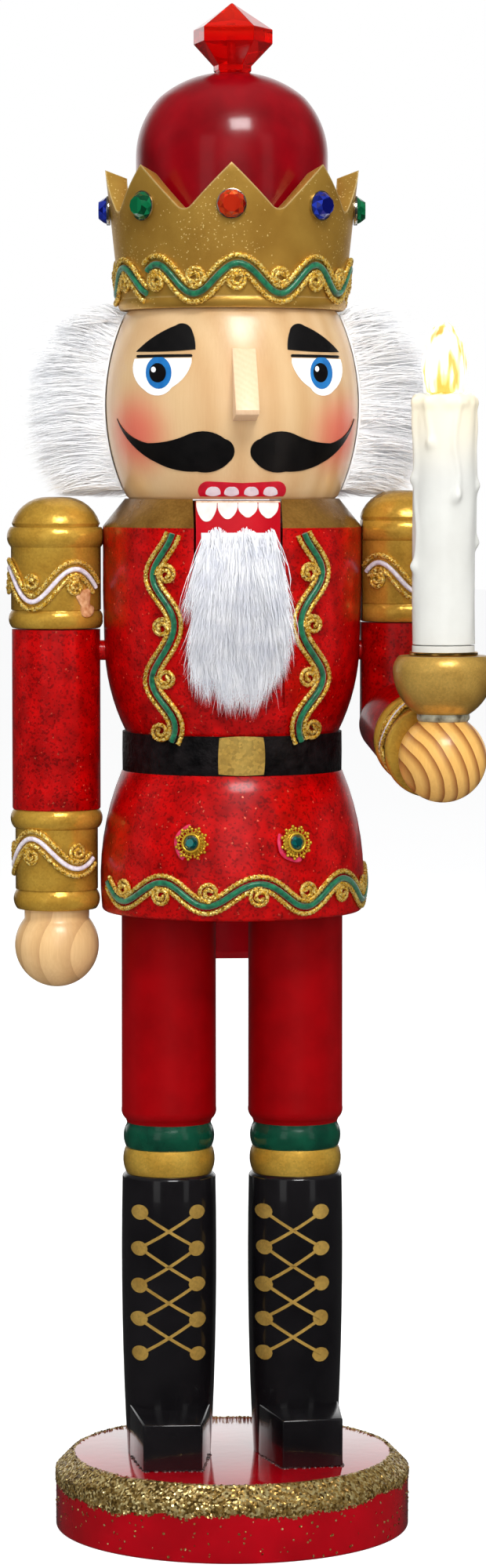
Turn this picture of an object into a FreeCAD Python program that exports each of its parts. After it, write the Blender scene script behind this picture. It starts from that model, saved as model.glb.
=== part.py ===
import FreeCAD, Part
import math
import os

# King nutcracker figure, 15 inch size, turned and assembled from wood, holding an LED candle.
# Millimetres. +Z is up, the face looks along -Y, the straight arm is on -X.
# The origin is the centre of the base's underside.

# ---- base and feet ----
BASE_R = 44.5
BASE_SIDE_H = 14.6
BASE_TOP_Z = 18.6
BASE_TOP_R = 40.6
FOOT_SPLAY = 8.3          # each side of a foot narrows by this many degrees towards the toe
FOOT_BACK_WIDTH = 20.1
FOOT_BACK_Y = -5.2
FOOT_BACK_H = 13.0
LEFT_TOE = {"y": -24.5, "height": 11.7, "yaw": 0.0}
RIGHT_TOE = {"y": -21.9, "height": 12.1, "yaw": 8.0}

# ---- legs ----
LEG_X = 15.9
BOOT_TOP_Z = 89.8
GOLD_RING_Z = 96.2
GREEN_RING_Z = 102.0
TROUSER_Z = 103.4
TROUSER_R = 11.8
LEG_DOWEL_R = 4.0
LEG_DOWEL_DEPTH = 12.0
SCREW_R = 1.9
SCREW_HEAD_R = 3.8
SCREW_LENGTH = 34.0
SCREW_RECESS = 1.5

# ---- coat ----
COAT_BOTTOM_Z = 155.9
BELT_Z = 191.5
BELT_R = 27.4
TORSO_Z = 200.8
TORSO_R = 32.25
COLLAR_Z = 251.7
TORSO_TOP_Z = 258.7
COLLAR_TOP_R = 26.7
SLOT_HALF_WIDTH = 10.8
SLOT_FLOOR_Z = 217.4
RECESS_HALF_WIDTH = 11.4
RECESS_Y = -26.9
BODY_DOWEL_R = 5.0
HEAD_DOWEL_R = 3.0
HEAD_DOWEL_X = 21.0

# ---- jaw and lever ----
JAW_HALF_WIDTH = 10.3
JAW_FRONT_Y = -30.5
JAW_TOP_Z = 258.3
JAW_BLOCK_Z = 226.5
JAW_PIN_Y = 0.0
JAW_PIN_Z = 239.5
JAW_PIN_R = 1.5
JAW_PIN_HALF_LENGTH = 29.0
JAW_OPEN = 15.0            # degrees from closed to fully open
RUNNING_GAP = 0.05         # radial clearance of a turning fit
LEVER_INNER_Y = 35.0
LEVER_OUTER_Y = 43.0
LEVER_BOTTOM_Z = 139.5

# ---- head, crown and cap ----
HEAD_END_R = 26.4
HEAD_R = 31.3
HEAD_WIDEST_Z = 279.5
HEAD_TOP_Z = 305.2
NOSE_HALF_WIDTH = 2.9
FACE_TURN = 2.7            # degrees that the face, and its nose, look towards the candle side
CROWN_FLOOR_Z = 315.0
CROWN_VALLEY_Z = 329.0
CROWN_TOP_Z = 340.2
CROWN_TOP_R = 31.5
CROWN_INNER_R = 26.0
CROWN_POINTS = 8
CROWN_TURN = -3.0          # degrees that the crown was glued off square
VALLEY_R = 2.5
CAP_R = 23.8
CAP_SHOULDER_Z = 343.3
CAP_TOP_Z = 363.8
GEM_SIDES = 5
GEM_TURN = 10.0
FINIAL_TOP_Z = 381.0
STONE_R = 3.65
STONE_Z = 330.0
STONE_SEAT_R = 30.2
STONE_DEPTH = 2.9

# ---- arms ----
LEFT_ARM_X = -43.9
RIGHT_ARM_X = 42.9
RIGHT_ARM_RAISE = 1.6
ARM_FLAT_X = 32.35         # the arms are planed flat here, where they meet the coat
SLEEVE_R = 11.0
HAND_R = 10.5
LEFT_HAND_Z = 147.3
ELBOW_Z = 203.5
FOREARM_DROOP = 5.4
FOREARM_YAW = 2.6
FOREARM_LENGTH = 53.0
RIGHT_HAND = (46.9, -62.0, 197.6)
ARM_DOWEL_Z = 221.0
DOWEL_R = 2.5

# ---- candle ----
CANDLE_X = 47.0
CANDLE_Y = -62.0
CUP_BOTTOM_Z = 207.6
CUP_TOP_Z = 222.0
RING_TOP_Z = 222.9
FLANGE_TOP_Z = 224.4
SLEEVE_BOTTOM_Z = 224.7
CANDLE_TOP_Z = 283.5
CANDLE_R = 7.4
CANDLE_INNER_R = 6.75
HOLDER_R = 6.45
CELL_R = 5.25
CELL_LENGTH = 44.5
CELL_NUB_H = 1.0
SPRING_FREE_Z = 3.0
SPRING_COIL_R = 3.4
SPRING_LEG_X = 5.65        # the spring's leg runs up a groove at this distance from the axis
WIRE_R = 0.3
STEM_R = 3.95
LED_R = 1.5
LENS_Z = 283.8
LENS_R = 5.4
LENS_TOP_Z = 301.2

# ---- glued trimmings ----
BRAID_THICKNESS = 1.6
GLUE_GAP = 0.05
CUFF_CLEAR_R = 12.3
FRONT_BRAID_X = 17.7
FRONT_BRAID_HALF_WIDTH = 6.6
BUTTONS = ((-11.0, 175.0), (13.6, 175.0))
BUTTON_R = 4.7

V = FreeCAD.Vector
UP = V(0, 0, 1)
FAR = 1000.0


def outline_face(outline, place):
    """Face inside a closed outline. A pair is a straight run's end; four numbers are an arc's
    middle and end. place turns a pair into a point in space."""
    edges = []
    start = place(*outline[0])
    for step in outline[1:]:
        end = place(*step[-2:])
        if len(step) == 4:
            edges.append(Part.Arc(start, place(*step[:2]), end).toShape())
        else:
            edges.append(Part.LineSegment(start, end).toShape())
        start = end
    if start.distanceToPoint(place(*outline[0])) > 1e-6:
        edges.append(Part.LineSegment(start, place(*outline[0])).toShape())
    return Part.Face(Part.Wire(edges))


def turned(outline, x=0.0, y=0.0):
    """Solid turned about a vertical axis at x, y from an outline of radius and height."""
    face = outline_face(outline, lambda r, z: V(r, 0, z))
    solid = face.revolve(V(0, 0, 0), UP, 360)
    solid.translate(V(x, y, 0))
    return solid


def side_cut(outline, half_width):
    """Plank sawn to an outline in the Y-Z plane, centred on X = 0."""
    face = outline_face(outline, lambda y, z: V(-half_width, y, z))
    return face.extrude(V(2 * half_width, 0, 0))


def rod(radius, start, end):
    """Plain round rod between two points."""
    start = V(*start)
    axis = V(*end) - start
    return Part.makeCylinder(radius, axis.Length, start, axis)


def block(low, high):
    """Box between two corners."""
    size = V(*high) - V(*low)
    return Part.makeBox(size.x, size.y, size.z, V(*low))


def half_space(point, normal):
    """Large box that covers everything on the normal's side of a plane."""
    box = Part.makeBox(FAR, FAR, FAR, V(-FAR / 2, -FAR / 2, 0))
    box.Placement = FreeCAD.Placement(point, FreeCAD.Rotation(UP, normal))
    return box


def pair(make):
    """Left and right copies of a solid that make(x) returns, as one group."""
    return Part.makeCompound([make(-1), make(1)])


# ---- the stand ----

def base_disc():
    disc = turned([(0, 0), (BASE_R, 0), (BASE_R, BASE_SIDE_H), (BASE_TOP_R, BASE_TOP_Z),
                   (0, BASE_TOP_Z)])
    return disc.cut(base_screws())


def base_screws():
    """Two countersunk wood screws that hold the legs from below."""
    head_z = SCREW_RECESS + SCREW_HEAD_R - SCREW_R
    screw = [(0, SCREW_RECESS), (SCREW_HEAD_R, SCREW_RECESS), (SCREW_R, head_z),
             (SCREW_R, SCREW_LENGTH), (0, SCREW_LENGTH + SCREW_R)]
    return pair(lambda side: turned(screw, side * LEG_X))


def screw_access():
    """Open recess under each screw head."""
    return pair(lambda side: rod(SCREW_HEAD_R, (side * LEG_X, 0, 0), (side * LEG_X, 0, SCREW_RECESS)))


def leg(side):
    """Boot, gold ring, green ring and trouser leg, turned in one piece."""
    boot_r = 10.5
    outline = [
        (0, BASE_TOP_Z), (boot_r, BASE_TOP_Z), (11.9, 65.0, 11.7, BOOT_TOP_Z - 0.8),
        (11.0, BOOT_TOP_Z),
        (11.5, (BOOT_TOP_Z + GOLD_RING_Z) / 2, 10.9, GOLD_RING_Z),
        (11.4, (GOLD_RING_Z + GREEN_RING_Z) / 2, 10.6, GREEN_RING_Z),
        (10.8, TROUSER_Z), (11.6, TROUSER_Z + 0.9, TROUSER_R + 0.1, TROUSER_Z + 2.9),
        (TROUSER_R, COAT_BOTTOM_Z), (0, COAT_BOTTOM_Z)]
    solid = turned(outline, side * LEG_X)
    return solid.cut(leg_dowels()).cut(base_screws())


def leg_dowels():
    low = COAT_BOTTOM_Z - LEG_DOWEL_DEPTH
    high = COAT_BOTTOM_Z + LEG_DOWEL_DEPTH
    return pair(lambda side: rod(LEG_DOWEL_R, (side * LEG_X, 0, low), (side * LEG_X, 0, high)))


def foot(side, toe):
    """Wedge-shaped toe block, glued to the base and against the boot."""
    x = side * LEG_X
    length = FOOT_BACK_Y - toe["y"]
    back_half = FOOT_BACK_WIDTH / 2
    toe_half = back_half - length * math.tan(math.radians(FOOT_SPLAY))
    back_y = FOOT_BACK_Y + 3.0
    corners = [(-toe_half, toe["y"]), (toe_half, toe["y"]), (back_half, FOOT_BACK_Y), (back_half, back_y),
               (-back_half, back_y), (-back_half, FOOT_BACK_Y), (-toe_half, toe["y"])]
    plan = Part.makePolygon([V(x + across, y, BASE_TOP_Z) for across, y in corners])
    wedge = Part.Face(plan).extrude(V(0, 0, FOOT_BACK_H))
    slope = V(0, -(FOOT_BACK_H - toe["height"]) / length, 1)
    wedge = wedge.cut(half_space(V(x, toe["y"], BASE_TOP_Z + toe["height"]), slope))
    wedge.rotate(V(x, 0, 0), UP, toe["yaw"])
    return wedge.cut(leg(side))


# ---- the coat ----

def skirt():
    """Lower body block: flared skirt with the belt turned on its neck."""
    outline = [
        (0, COAT_BOTTOM_Z), (31.6, COAT_BOTTOM_Z), (32.3, COAT_BOTTOM_Z + 0.3, 32.6, COAT_BOTTOM_Z + 1.0),
        (32.0, 175.6, 27.6, BELT_Z - 0.6), (BELT_R, BELT_Z), (BELT_R, TORSO_Z), (0, TORSO_Z)]
    return turned(outline).cut(leg_dowels()).cut(body_dowel())


def body_dowel():
    return rod(BODY_DOWEL_R, (0, 0, TORSO_Z - 12), (0, 0, TORSO_Z + 11))


def torso_outline(grow=0.0):
    """Outside of the chest, from the belt up to the collar, as an open outline."""
    return [(26.6 + grow, TORSO_Z), (30.1 + grow, 210.0, 31.9 + grow, 223.0),
            (TORSO_R + grow, 236.0), (TORSO_R + grow, COLLAR_Z)]


def torso():
    """Upper body block, slotted from front to back for the jaw lever."""
    outline = [(0, TORSO_Z)] + torso_outline() + [(COLLAR_TOP_R, TORSO_TOP_Z), (0, TORSO_TOP_Z)]
    solid = turned(outline)
    slot = block((-SLOT_HALF_WIDTH, -FAR, SLOT_FLOOR_Z), (SLOT_HALF_WIDTH, FAR, TORSO_TOP_Z + 1))
    recess = block((-RECESS_HALF_WIDTH, -FAR, TORSO_Z - 1), (RECESS_HALF_WIDTH, RECESS_Y, SLOT_FLOOR_Z))
    for cutter in (slot, recess, body_dowel(), head_dowels(), arm_dowels(), jaw_pin()):
        solid = solid.cut(cutter)
    return solid


def head_dowels():
    low, high = TORSO_TOP_Z - 10, TORSO_TOP_Z + 12
    return pair(lambda side: rod(HEAD_DOWEL_R, (side * HEAD_DOWEL_X, 0, low),
                                 (side * HEAD_DOWEL_X, 0, high)))


def arm_dowels():
    left = rod(DOWEL_R, (LEFT_ARM_X - 2, 0, ARM_DOWEL_Z), (-SLOT_HALF_WIDTH - 9, 0, ARM_DOWEL_Z))
    right = rod(DOWEL_R, (SLOT_HALF_WIDTH + 9, 0, ARM_DOWEL_Z), (RIGHT_ARM_X + 2, 0, ARM_DOWEL_Z))
    return Part.makeCompound([left, right])


# ---- the jaw ----

def jaw_pin(grow=0.0):
    return rod(JAW_PIN_R + grow, (-JAW_PIN_HALF_LENGTH, JAW_PIN_Y, JAW_PIN_Z),
               (JAW_PIN_HALF_LENGTH, JAW_PIN_Y, JAW_PIN_Z))


def jaw_lever():
    """Jaw block and tail in one plank. Behind the pin its top falls away by the opening angle,
    so that it clears the head when the tail is pulled out and up."""
    slope_y = 30.0
    slope_z = JAW_TOP_Z - (slope_y - 1.0) * math.tan(math.radians(JAW_OPEN + 1.0))
    outline = [
        (JAW_FRONT_Y, JAW_BLOCK_Z), (JAW_FRONT_Y, JAW_TOP_Z), (1.0, JAW_TOP_Z), (slope_y, slope_z),
        (39.4, 245.2, LEVER_OUTER_Y, 236.0), (LEVER_OUTER_Y, LEVER_BOTTOM_Z + 2.0),
        (LEVER_OUTER_Y - 2.0, LEVER_BOTTOM_Z), (LEVER_INNER_Y + 2.0, LEVER_BOTTOM_Z),
        (LEVER_INNER_Y, LEVER_BOTTOM_Z + 2.0), (LEVER_INNER_Y, JAW_BLOCK_Z - 6.0),
        (LEVER_INNER_Y - 1.8, JAW_BLOCK_Z - 1.8, LEVER_INNER_Y - 6.0, JAW_BLOCK_Z)]
    return side_cut(outline, JAW_HALF_WIDTH).cut(jaw_pin(RUNNING_GAP))


def beard():
    """Plain body for the tuft of fur glued below the teeth."""
    front_y = JAW_FRONT_Y - GLUE_GAP
    top = Part.makePolygon([V(-9, front_y, 252.5), V(9, front_y, 252.5), V(7.5, front_y - 6.5, 252.5),
                            V(-7.5, front_y - 6.5, 252.5), V(-9, front_y, 252.5)])
    middle = Part.makePolygon([V(-11, -32.6, 226), V(11, -32.6, 226), V(9, -40.5, 226), V(-9, -40.5, 226),
                               V(-11, -32.6, 226)])
    tip = Part.makePolygon([V(-7, -33.5, 205), V(7, -33.5, 205), V(5.5, -38, 205), V(-5.5, -38, 205),
                            V(-7, -33.5, 205)])
    return Part.makeLoft([top, middle, tip], True, True)


# ---- the head ----

def head_solid():
    edge = 0.8
    return turned([(0, TORSO_TOP_Z), (HEAD_END_R - edge, TORSO_TOP_Z), (HEAD_END_R, TORSO_TOP_Z + edge),
                   (HEAD_R, HEAD_WIDEST_Z, HEAD_END_R, HEAD_TOP_Z - edge),
                   (HEAD_END_R - edge, HEAD_TOP_Z), (0, HEAD_TOP_Z)])


def head():
    return head_solid().cut(head_dowels()).cut(crown_dowel())


def nose():
    wedge = side_cut([(-26.0, 295.5), (-30.2, 295.2), (-39.3, 280.2), (-38.7, 279.0), (-29.0, 277.0)],
                     NOSE_HALF_WIDTH)
    wedge.rotate(V(0, 0, 0), UP, FACE_TURN)
    return wedge.cut(head_solid())


def hair():
    """Plain body for the strip of fur glued round the back of the head from ear to ear."""
    outline = [(27.0, 260.3), (38.0, 261.4), (45.5, 264.5, 50.0, 276.0), (51.5, 291.0, 46.0, 302.0),
               (41.0, 305.3), (28.4, 305.1)]
    face = outline_face(outline, lambda r, z: V(r, 0, z))
    wig = face.revolve(V(0, 0, 0), UP, 180)
    head_room = turned([(0, 250), (27.0, 250), (27.0, TORSO_TOP_Z),
                        (HEAD_R + 0.6, HEAD_WIDEST_Z, 27.0, 307.0), (0, 307)])
    return wig.cut(head_room)


# ---- crown, cap and jewels ----

def crown_dowel():
    return rod(BODY_DOWEL_R, (0, 0, HEAD_TOP_Z - 8), (0, 0, CROWN_FLOOR_Z + 8))


def crown_outline():
    return [(27.6, HEAD_TOP_Z), (28.3, HEAD_TOP_Z + 1.3, 28.0, HEAD_TOP_Z + 2.7),
            (29.7, 324.0, CROWN_TOP_R, CROWN_TOP_Z)]


def valley():
    """Cutter for one valley between two points of the crown, along +X."""
    centre_z = CROWN_VALLEY_Z + VALLEY_R
    tangent = VALLEY_R * math.sqrt(0.5)
    rise = 16.0
    outline = [(-tangent, centre_z - tangent), (0, CROWN_VALLEY_Z, tangent, centre_z - tangent),
               (tangent + rise, centre_z - tangent + rise), (-tangent - rise, centre_z - tangent + rise)]
    face = outline_face(outline, lambda y, z: V(0, y, z))
    return face.extrude(V(FAR, 0, 0))


def around(solid, index, turn=0.0):
    """A copy of a solid turned to one of the crown's points. Index 0 is nearest to +X."""
    copy = solid.copy()
    copy.rotate(V(0, 0, 0), UP, CROWN_TURN + index * 360.0 / CROWN_POINTS + turn)
    return copy


def crown():
    outline = [(0, HEAD_TOP_Z)] + crown_outline()
    outline += [(CROWN_INNER_R, CROWN_TOP_Z), (CROWN_INNER_R, CROWN_FLOOR_Z), (0, CROWN_FLOOR_Z)]
    solid = turned(outline).cut(crown_dowel())
    seat = rod(STONE_R + 0.1, (STONE_SEAT_R, 0, STONE_Z), (STONE_SEAT_R + 5, 0, STONE_Z))
    for index in range(CROWN_POINTS):
        solid = solid.cut(around(valley(), index, 180.0 / CROWN_POINTS))
        solid = solid.cut(around(seat, index))
    return solid


def crown_stone(index):
    """Foil-backed rhinestone: a ten-sided cone frustum on a short silvered rim."""
    rim_depth = 1.1
    stone = Part.makeCylinder(STONE_R, rim_depth)
    table = many_sided(10, 2.2, STONE_DEPTH)
    girdle = many_sided(10, STONE_R, rim_depth)
    stone = stone.fuse(Part.makeLoft([girdle, table], True, True)).removeSplitter()
    stone.rotate(V(0, 0, 0), V(0, 1, 0), 90)
    stone.translate(V(STONE_SEAT_R, 0, STONE_Z))
    return around(stone, index)


def many_sided(sides, radius, z, turn=0.0, x=0.0, y=0.0):
    """Regular polygon wire lying level at height z."""
    step = 2 * math.pi / sides
    start = math.radians(turn)
    points = [V(x + radius * math.cos(start + k * step), y + radius * math.sin(start + k * step), z)
              for k in range(sides)]
    return Part.makePolygon(points + [points[0]])


def cap():
    outline = [(0, CROWN_FLOOR_Z), (CAP_R, CROWN_FLOOR_Z), (CAP_R, CAP_SHOULDER_Z),
               (22.2, 351.2, 18.0, 357.7), (10.6, 362.2, 4.0, CAP_TOP_Z), (0, CAP_TOP_Z)]
    return turned(outline).cut(crown_dowel()).cut(finial_pin())


def finial_pin():
    return rod(1.0, (0, 0, CAP_TOP_Z - 9), (0, 0, CAP_TOP_Z + 9))


def finial_gem():
    """Five-sided bead: a wide belt, a low point above and a long taper down to its foot."""
    wires = [many_sided(GEM_SIDES, 5.0, CAP_TOP_Z, GEM_TURN), many_sided(GEM_SIDES, 10.4, 371.2, GEM_TURN),
             many_sided(GEM_SIDES, 10.4, 374.7, GEM_TURN)]
    lower = Part.makeLoft(wires, True, True)
    tip = Part.makeLoft([wires[2], many_sided(GEM_SIDES, 0.25, FINIAL_TOP_Z, GEM_TURN)], True, True)
    return lower.fuse(tip).removeSplitter().cut(finial_pin())


# ---- arms ----

def bead(z_top, z_bottom, radius, bulge=0.9):
    """One turned bead of an arm, as outline steps from its top edge to its bottom edge."""
    return [(radius - bulge, z_top), (radius, (z_top + z_bottom) / 2, radius - bulge, z_bottom)]


def shoulder_outline():
    """Domed shoulder, two beads and the gold neck between them, from the top down."""
    outline = [(0, 258.9), (8.2, 256.9, SLEEVE_R, 252.6), (10.6, 251.7)]
    outline += bead(251.7, 246.8, 12.2)
    outline += [(11.2, 246.8), (11.2, 231.1)]
    outline += bead(231.1, 226.6, 11.8)
    return outline


def left_arm():
    outline = shoulder_outline() + [(SLEEVE_R, 226.6), (SLEEVE_R, 181.5)]
    outline += bead(181.5, 176.8, 11.5)
    outline += [(10.3, 176.8), (10.3, 161.4)]
    outline += bead(161.4, 156.5, 10.8)
    outline += [(0, 156.5)]
    solid = turned(outline, LEFT_ARM_X)
    solid = solid.cut(half_space(V(-ARM_FLAT_X, 0, 0), V(1, 0, 0)))
    return solid.cut(arm_dowels()).cut(hand_dowels())


def left_hand():
    """Wooden ball with the short neck that meets the cuff."""
    neck_r = 8.1
    neck_z = LEFT_HAND_Z + math.sqrt(HAND_R ** 2 - neck_r ** 2)
    outline = [(0, LEFT_HAND_Z - HAND_R), (HAND_R, LEFT_HAND_Z, neck_r, neck_z), (neck_r, 156.5), (0, 156.5)]
    return turned(outline, LEFT_ARM_X).cut(hand_dowels())


def forearm_direction():
    droop = math.radians(FOREARM_DROOP)
    yaw = math.radians(FOREARM_YAW)
    return V(math.sin(yaw) * math.cos(droop), -math.cos(yaw) * math.cos(droop), -math.sin(droop))


def elbow():
    return V(RIGHT_ARM_X, 0, ELBOW_Z)


def hand_dowels():
    left = rod(DOWEL_R, (LEFT_ARM_X, 0, 149), (LEFT_ARM_X, 0, 164))
    end = elbow() + forearm_direction() * FOREARM_LENGTH
    inner = end - forearm_direction() * 9
    right = rod(DOWEL_R, tuple(inner), RIGHT_HAND)
    return Part.makeCompound([left, right])


def right_upper_arm():
    """Upper arm block, sawn at the elbow on the mitre plane."""
    outline = shoulder_outline() + [(SLEEVE_R, 226.6), (SLEEVE_R, 180.0), (0, 180.0)]
    solid = turned(outline)
    solid.translate(V(RIGHT_ARM_X, 0, RIGHT_ARM_RAISE))
    mitre = forearm_direction() - UP
    solid = solid.cut(half_space(elbow(), mitre))
    solid = solid.cut(half_space(V(ARM_FLAT_X, 0, 0), V(-1, 0, 0)))
    return solid.cut(arm_dowels())


def forearm_outline():
    """Sleeve, two beads and gold cuff, as radius against distance from the elbow."""
    outline = [(0, -30.0), (SLEEVE_R, -30.0), (SLEEVE_R, 30.0)]
    outline += bead(30.0, 34.0, 11.5)
    outline += [(10.3, 34.0), (10.3, 48.6)]
    outline += bead(48.6, FOREARM_LENGTH, 11.3)
    outline += [(0, FOREARM_LENGTH)]
    return outline


def along_forearm(solid):
    """Move a solid made along +Z from the origin to the forearm, with the elbow at its start."""
    solid.Placement = FreeCAD.Placement(elbow(), FreeCAD.Rotation(UP, forearm_direction()))
    return solid


def right_forearm():
    solid = along_forearm(turned(forearm_outline()))
    mitre = forearm_direction() - UP
    solid = solid.cut(half_space(elbow(), -mitre))
    return solid.cut(Part.makeSphere(HAND_R, V(*RIGHT_HAND))).cut(hand_dowels())


def right_hand():
    ball = Part.makeSphere(HAND_R, V(*RIGHT_HAND))
    ball = ball.cut(half_space(V(CANDLE_X, CANDLE_Y, CUP_BOTTOM_Z), UP))
    return ball.cut(hand_dowels()).cut(cup_pin())


# ---- the candle ----

def candle_turned(outline):
    return turned(outline, CANDLE_X, CANDLE_Y)


def candle_rod(radius, low, high):
    return rod(radius, (CANDLE_X, CANDLE_Y, low), (CANDLE_X, CANDLE_Y, high))


def cup_pin():
    return candle_rod(1.5, CUP_BOTTOM_Z - 7, CUP_BOTTOM_Z + 6)


def candle_cup():
    """Gold turned bead between the hand and the candle."""
    cup = candle_turned([(0, CUP_BOTTOM_Z), (5.3, CUP_BOTTOM_Z), (10.2, 212.2, 11.9, 217.6),
                         (11.6, 220.4, 10.5, CUP_TOP_Z), (0, CUP_TOP_Z)])
    return cup.cut(cup_pin()).cut(candle_rod(3.0, CUP_TOP_Z - 5, CUP_TOP_Z))


def candle_ring():
    return candle_rod(8.2, CUP_TOP_Z, RING_TOP_Z).cut(candle_rod(3.0, CUP_TOP_Z, RING_TOP_Z))


def battery_holder():
    """White moulding: a spigot in the cup, the foot flange and the tube round the cell."""
    tube_floor_z = FLANGE_TOP_Z + 1.2
    tube_top_z = cell_bottom_z() + CELL_LENGTH - 2.5
    inner_r = CELL_R + 0.15
    tube = candle_turned([(0, CUP_TOP_Z - 5), (3.0, CUP_TOP_Z - 5), (3.0, RING_TOP_Z), (CANDLE_R, RING_TOP_Z),
                          (CANDLE_R, FLANGE_TOP_Z), (HOLDER_R, FLANGE_TOP_Z), (HOLDER_R, tube_top_z),
                          (inner_r, tube_top_z), (inner_r, tube_floor_z), (0, tube_floor_z)])
    groove_x = CANDLE_X + SPRING_LEG_X
    groove = rod(WIRE_R + 0.1, (groove_x, CANDLE_Y, tube_floor_z), (groove_x, CANDLE_Y, tube_top_z))
    return tube.cut(groove)


def cell_bottom_z():
    return FLANGE_TOP_Z + 1.2 + SPRING_FREE_Z


def contact_spring():
    """Spring wire: three turns under the cell and a leg that runs up beside it to the top."""
    pitch = (SPRING_FREE_Z - 2 * WIRE_R - 0.1) / 3
    path = Part.makeHelix(pitch, 3 * pitch, SPRING_COIL_R)
    section = Part.Wire([Part.Circle(V(SPRING_COIL_R, 0, 0), V(0, 1, 0), WIRE_R).toShape()])
    coil = Part.Wire(path).makePipeShell([section], True, True)
    low = FLANGE_TOP_Z + 1.2 + WIRE_R + 0.05
    coil.translate(V(CANDLE_X, CANDLE_Y, low))
    corner = (CANDLE_X + SPRING_LEG_X, CANDLE_Y, low)
    foot_run = rod(WIRE_R, (CANDLE_X + SPRING_COIL_R, CANDLE_Y, low), corner)
    leg_run = rod(WIRE_R, corner, (corner[0], CANDLE_Y, contact_top_z() - 0.9))
    bend = Part.makeSphere(WIRE_R, V(*corner))
    return coil.fuse([foot_run, leg_run, bend])


def battery_cell():
    """Size AAA cell, nub upwards."""
    low = cell_bottom_z()
    high = low + CELL_LENGTH
    return candle_turned([(0, low), (CELL_R, low), (CELL_R, high - CELL_NUB_H), (1.9, high - CELL_NUB_H),
                          (1.9, high), (0, high)])


def led_socket():
    """Plug in the top of the sleeve that carries the contact plate and lets the flame turn."""
    low = contact_top_z()
    high = CANDLE_TOP_Z - 2.0
    return candle_turned([(STEM_R + RUNNING_GAP, low + 1.5), (STEM_R + RUNNING_GAP, high), (CANDLE_INNER_R, high),
                          (CANDLE_INNER_R, low), (1.0, low), (1.0, low + 1.5)])


def contact_top_z():
    return cell_bottom_z() + CELL_LENGTH + 1.2


def contact_plate():
    """Brass disc with a dimple towards the cell's nub, and a ring towards the spring's leg."""
    high = contact_top_z()
    disc = candle_turned([(0, high - 0.9), (1.5, high - 0.9), (1.5, high - 0.4), (3.4, high - 0.4),
                          (3.4, high), (0, high)])
    ring = candle_rod(6.3, high - 0.4, high).cut(candle_rod(4.6, high - 0.4, high))
    return Part.makeCompound([disc, ring])


def candle_sleeve():
    """Moulded candle body with drips of wax, open below, that lifts off the battery holder."""
    tube = candle_turned([(CANDLE_INNER_R, SLEEVE_BOTTOM_Z), (CANDLE_R, SLEEVE_BOTTOM_Z), (CANDLE_R, CANDLE_TOP_Z),
                          (STEM_R + 0.4, CANDLE_TOP_Z), (STEM_R + 0.4, CANDLE_TOP_Z - 2.0),
                          (CANDLE_INNER_R, CANDLE_TOP_Z - 2.0)])
    core = candle_rod(CANDLE_INNER_R, SLEEVE_BOTTOM_Z, CANDLE_TOP_Z)
    for azimuth, low, high, radius in ((-80, 259.5, 282.0, 1.0), (195, 244.0, 281.0, 0.9),
                                       (5, 248.0, 281.0, 0.8), (60, 252.0, 280.0, 0.9),
                                       (130, 262.0, 281.5, 0.9)):
        x = CANDLE_X + CANDLE_R * math.cos(math.radians(azimuth))
        y = CANDLE_Y + CANDLE_R * math.sin(math.radians(azimuth))
        drip = rod(radius, (x, y, low), (x, y, high)).fuse(Part.makeSphere(radius * 1.4, V(x, y, low)))
        tube = tube.fuse(drip.cut(core))
    return tube


def flame_lens():
    """Clear faceted flame on a round stem, hollow for the light-emitting diode."""
    turn = 22.5
    sections = ((4.6, LENS_Z), (LENS_R, 288.6), (LENS_R, 292.5), (3.6, 298.0), (0.8, LENS_TOP_Z))
    wires = [many_sided(8, radius, z, turn, CANDLE_X, CANDLE_Y) for radius, z in sections]
    bulb = Part.makeLoft(wires, True, True)
    lens = bulb.fuse(candle_rod(STEM_R, contact_top_z() + 2.0, LENS_Z)).removeSplitter()
    return lens.cut(candle_rod(2.0, contact_top_z() + 2.0, 290.5))


def led():
    """Warm white diode with its two leads."""
    low = 283.0
    dome_z = low + 4.0
    slant = LED_R * math.sqrt(0.5)
    bulb = candle_turned([(0, low), (LED_R + 0.2, low), (LED_R + 0.2, low + 1.0), (LED_R, low + 1.0),
                          (LED_R, dome_z), (slant, dome_z + slant, 0, dome_z + LED_R)])
    leads = [rod(0.25, (CANDLE_X + x, CANDLE_Y, contact_top_z() + 2.4), (CANDLE_X + x, CANDLE_Y, low))
             for x in (-0.65, 0.65)]
    return Part.makeCompound([bulb] + leads)


# ---- braids and buttons ----

def band(outline):
    """Plain body for a braid that runs all round a turned surface. The outline is the surface
    under it, from the bottom up."""
    inner = [(step[0] + GLUE_GAP,) + step[1:] if len(step) == 2 else
             (step[0] + GLUE_GAP, step[1], step[2] + GLUE_GAP, step[3]) for step in outline]
    thick = GLUE_GAP + BRAID_THICKNESS
    outer = [(outline[-1][-2] + thick, outline[-1][-1]), (outline[0][0] + thick, outline[0][1])]
    return turned(inner + outer)


def crown_braid():
    return band([(28.35, HEAD_TOP_Z + 1.0), (29.25, 318.0)])


def skirt_braid():
    """Band round the skirt's hem, open where the straight arm's cuff stands against it."""
    ring = band([(33.0, 157.2), (33.05, 167.8)])
    return ring.cut(rod(CUFF_CLEAR_R, (LEFT_ARM_X, 0, 150), (LEFT_ARM_X, 0, 175)))


def chest(grow):
    """The belt and the chest above it, grown outwards."""
    belt = rod(BELT_R + grow, (0, 0, BELT_Z), (0, 0, TORSO_Z + 2.0))
    return belt.fuse(turned([(0, TORSO_Z)] + torso_outline(grow) + [(0, COLLAR_Z)]))


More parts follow.
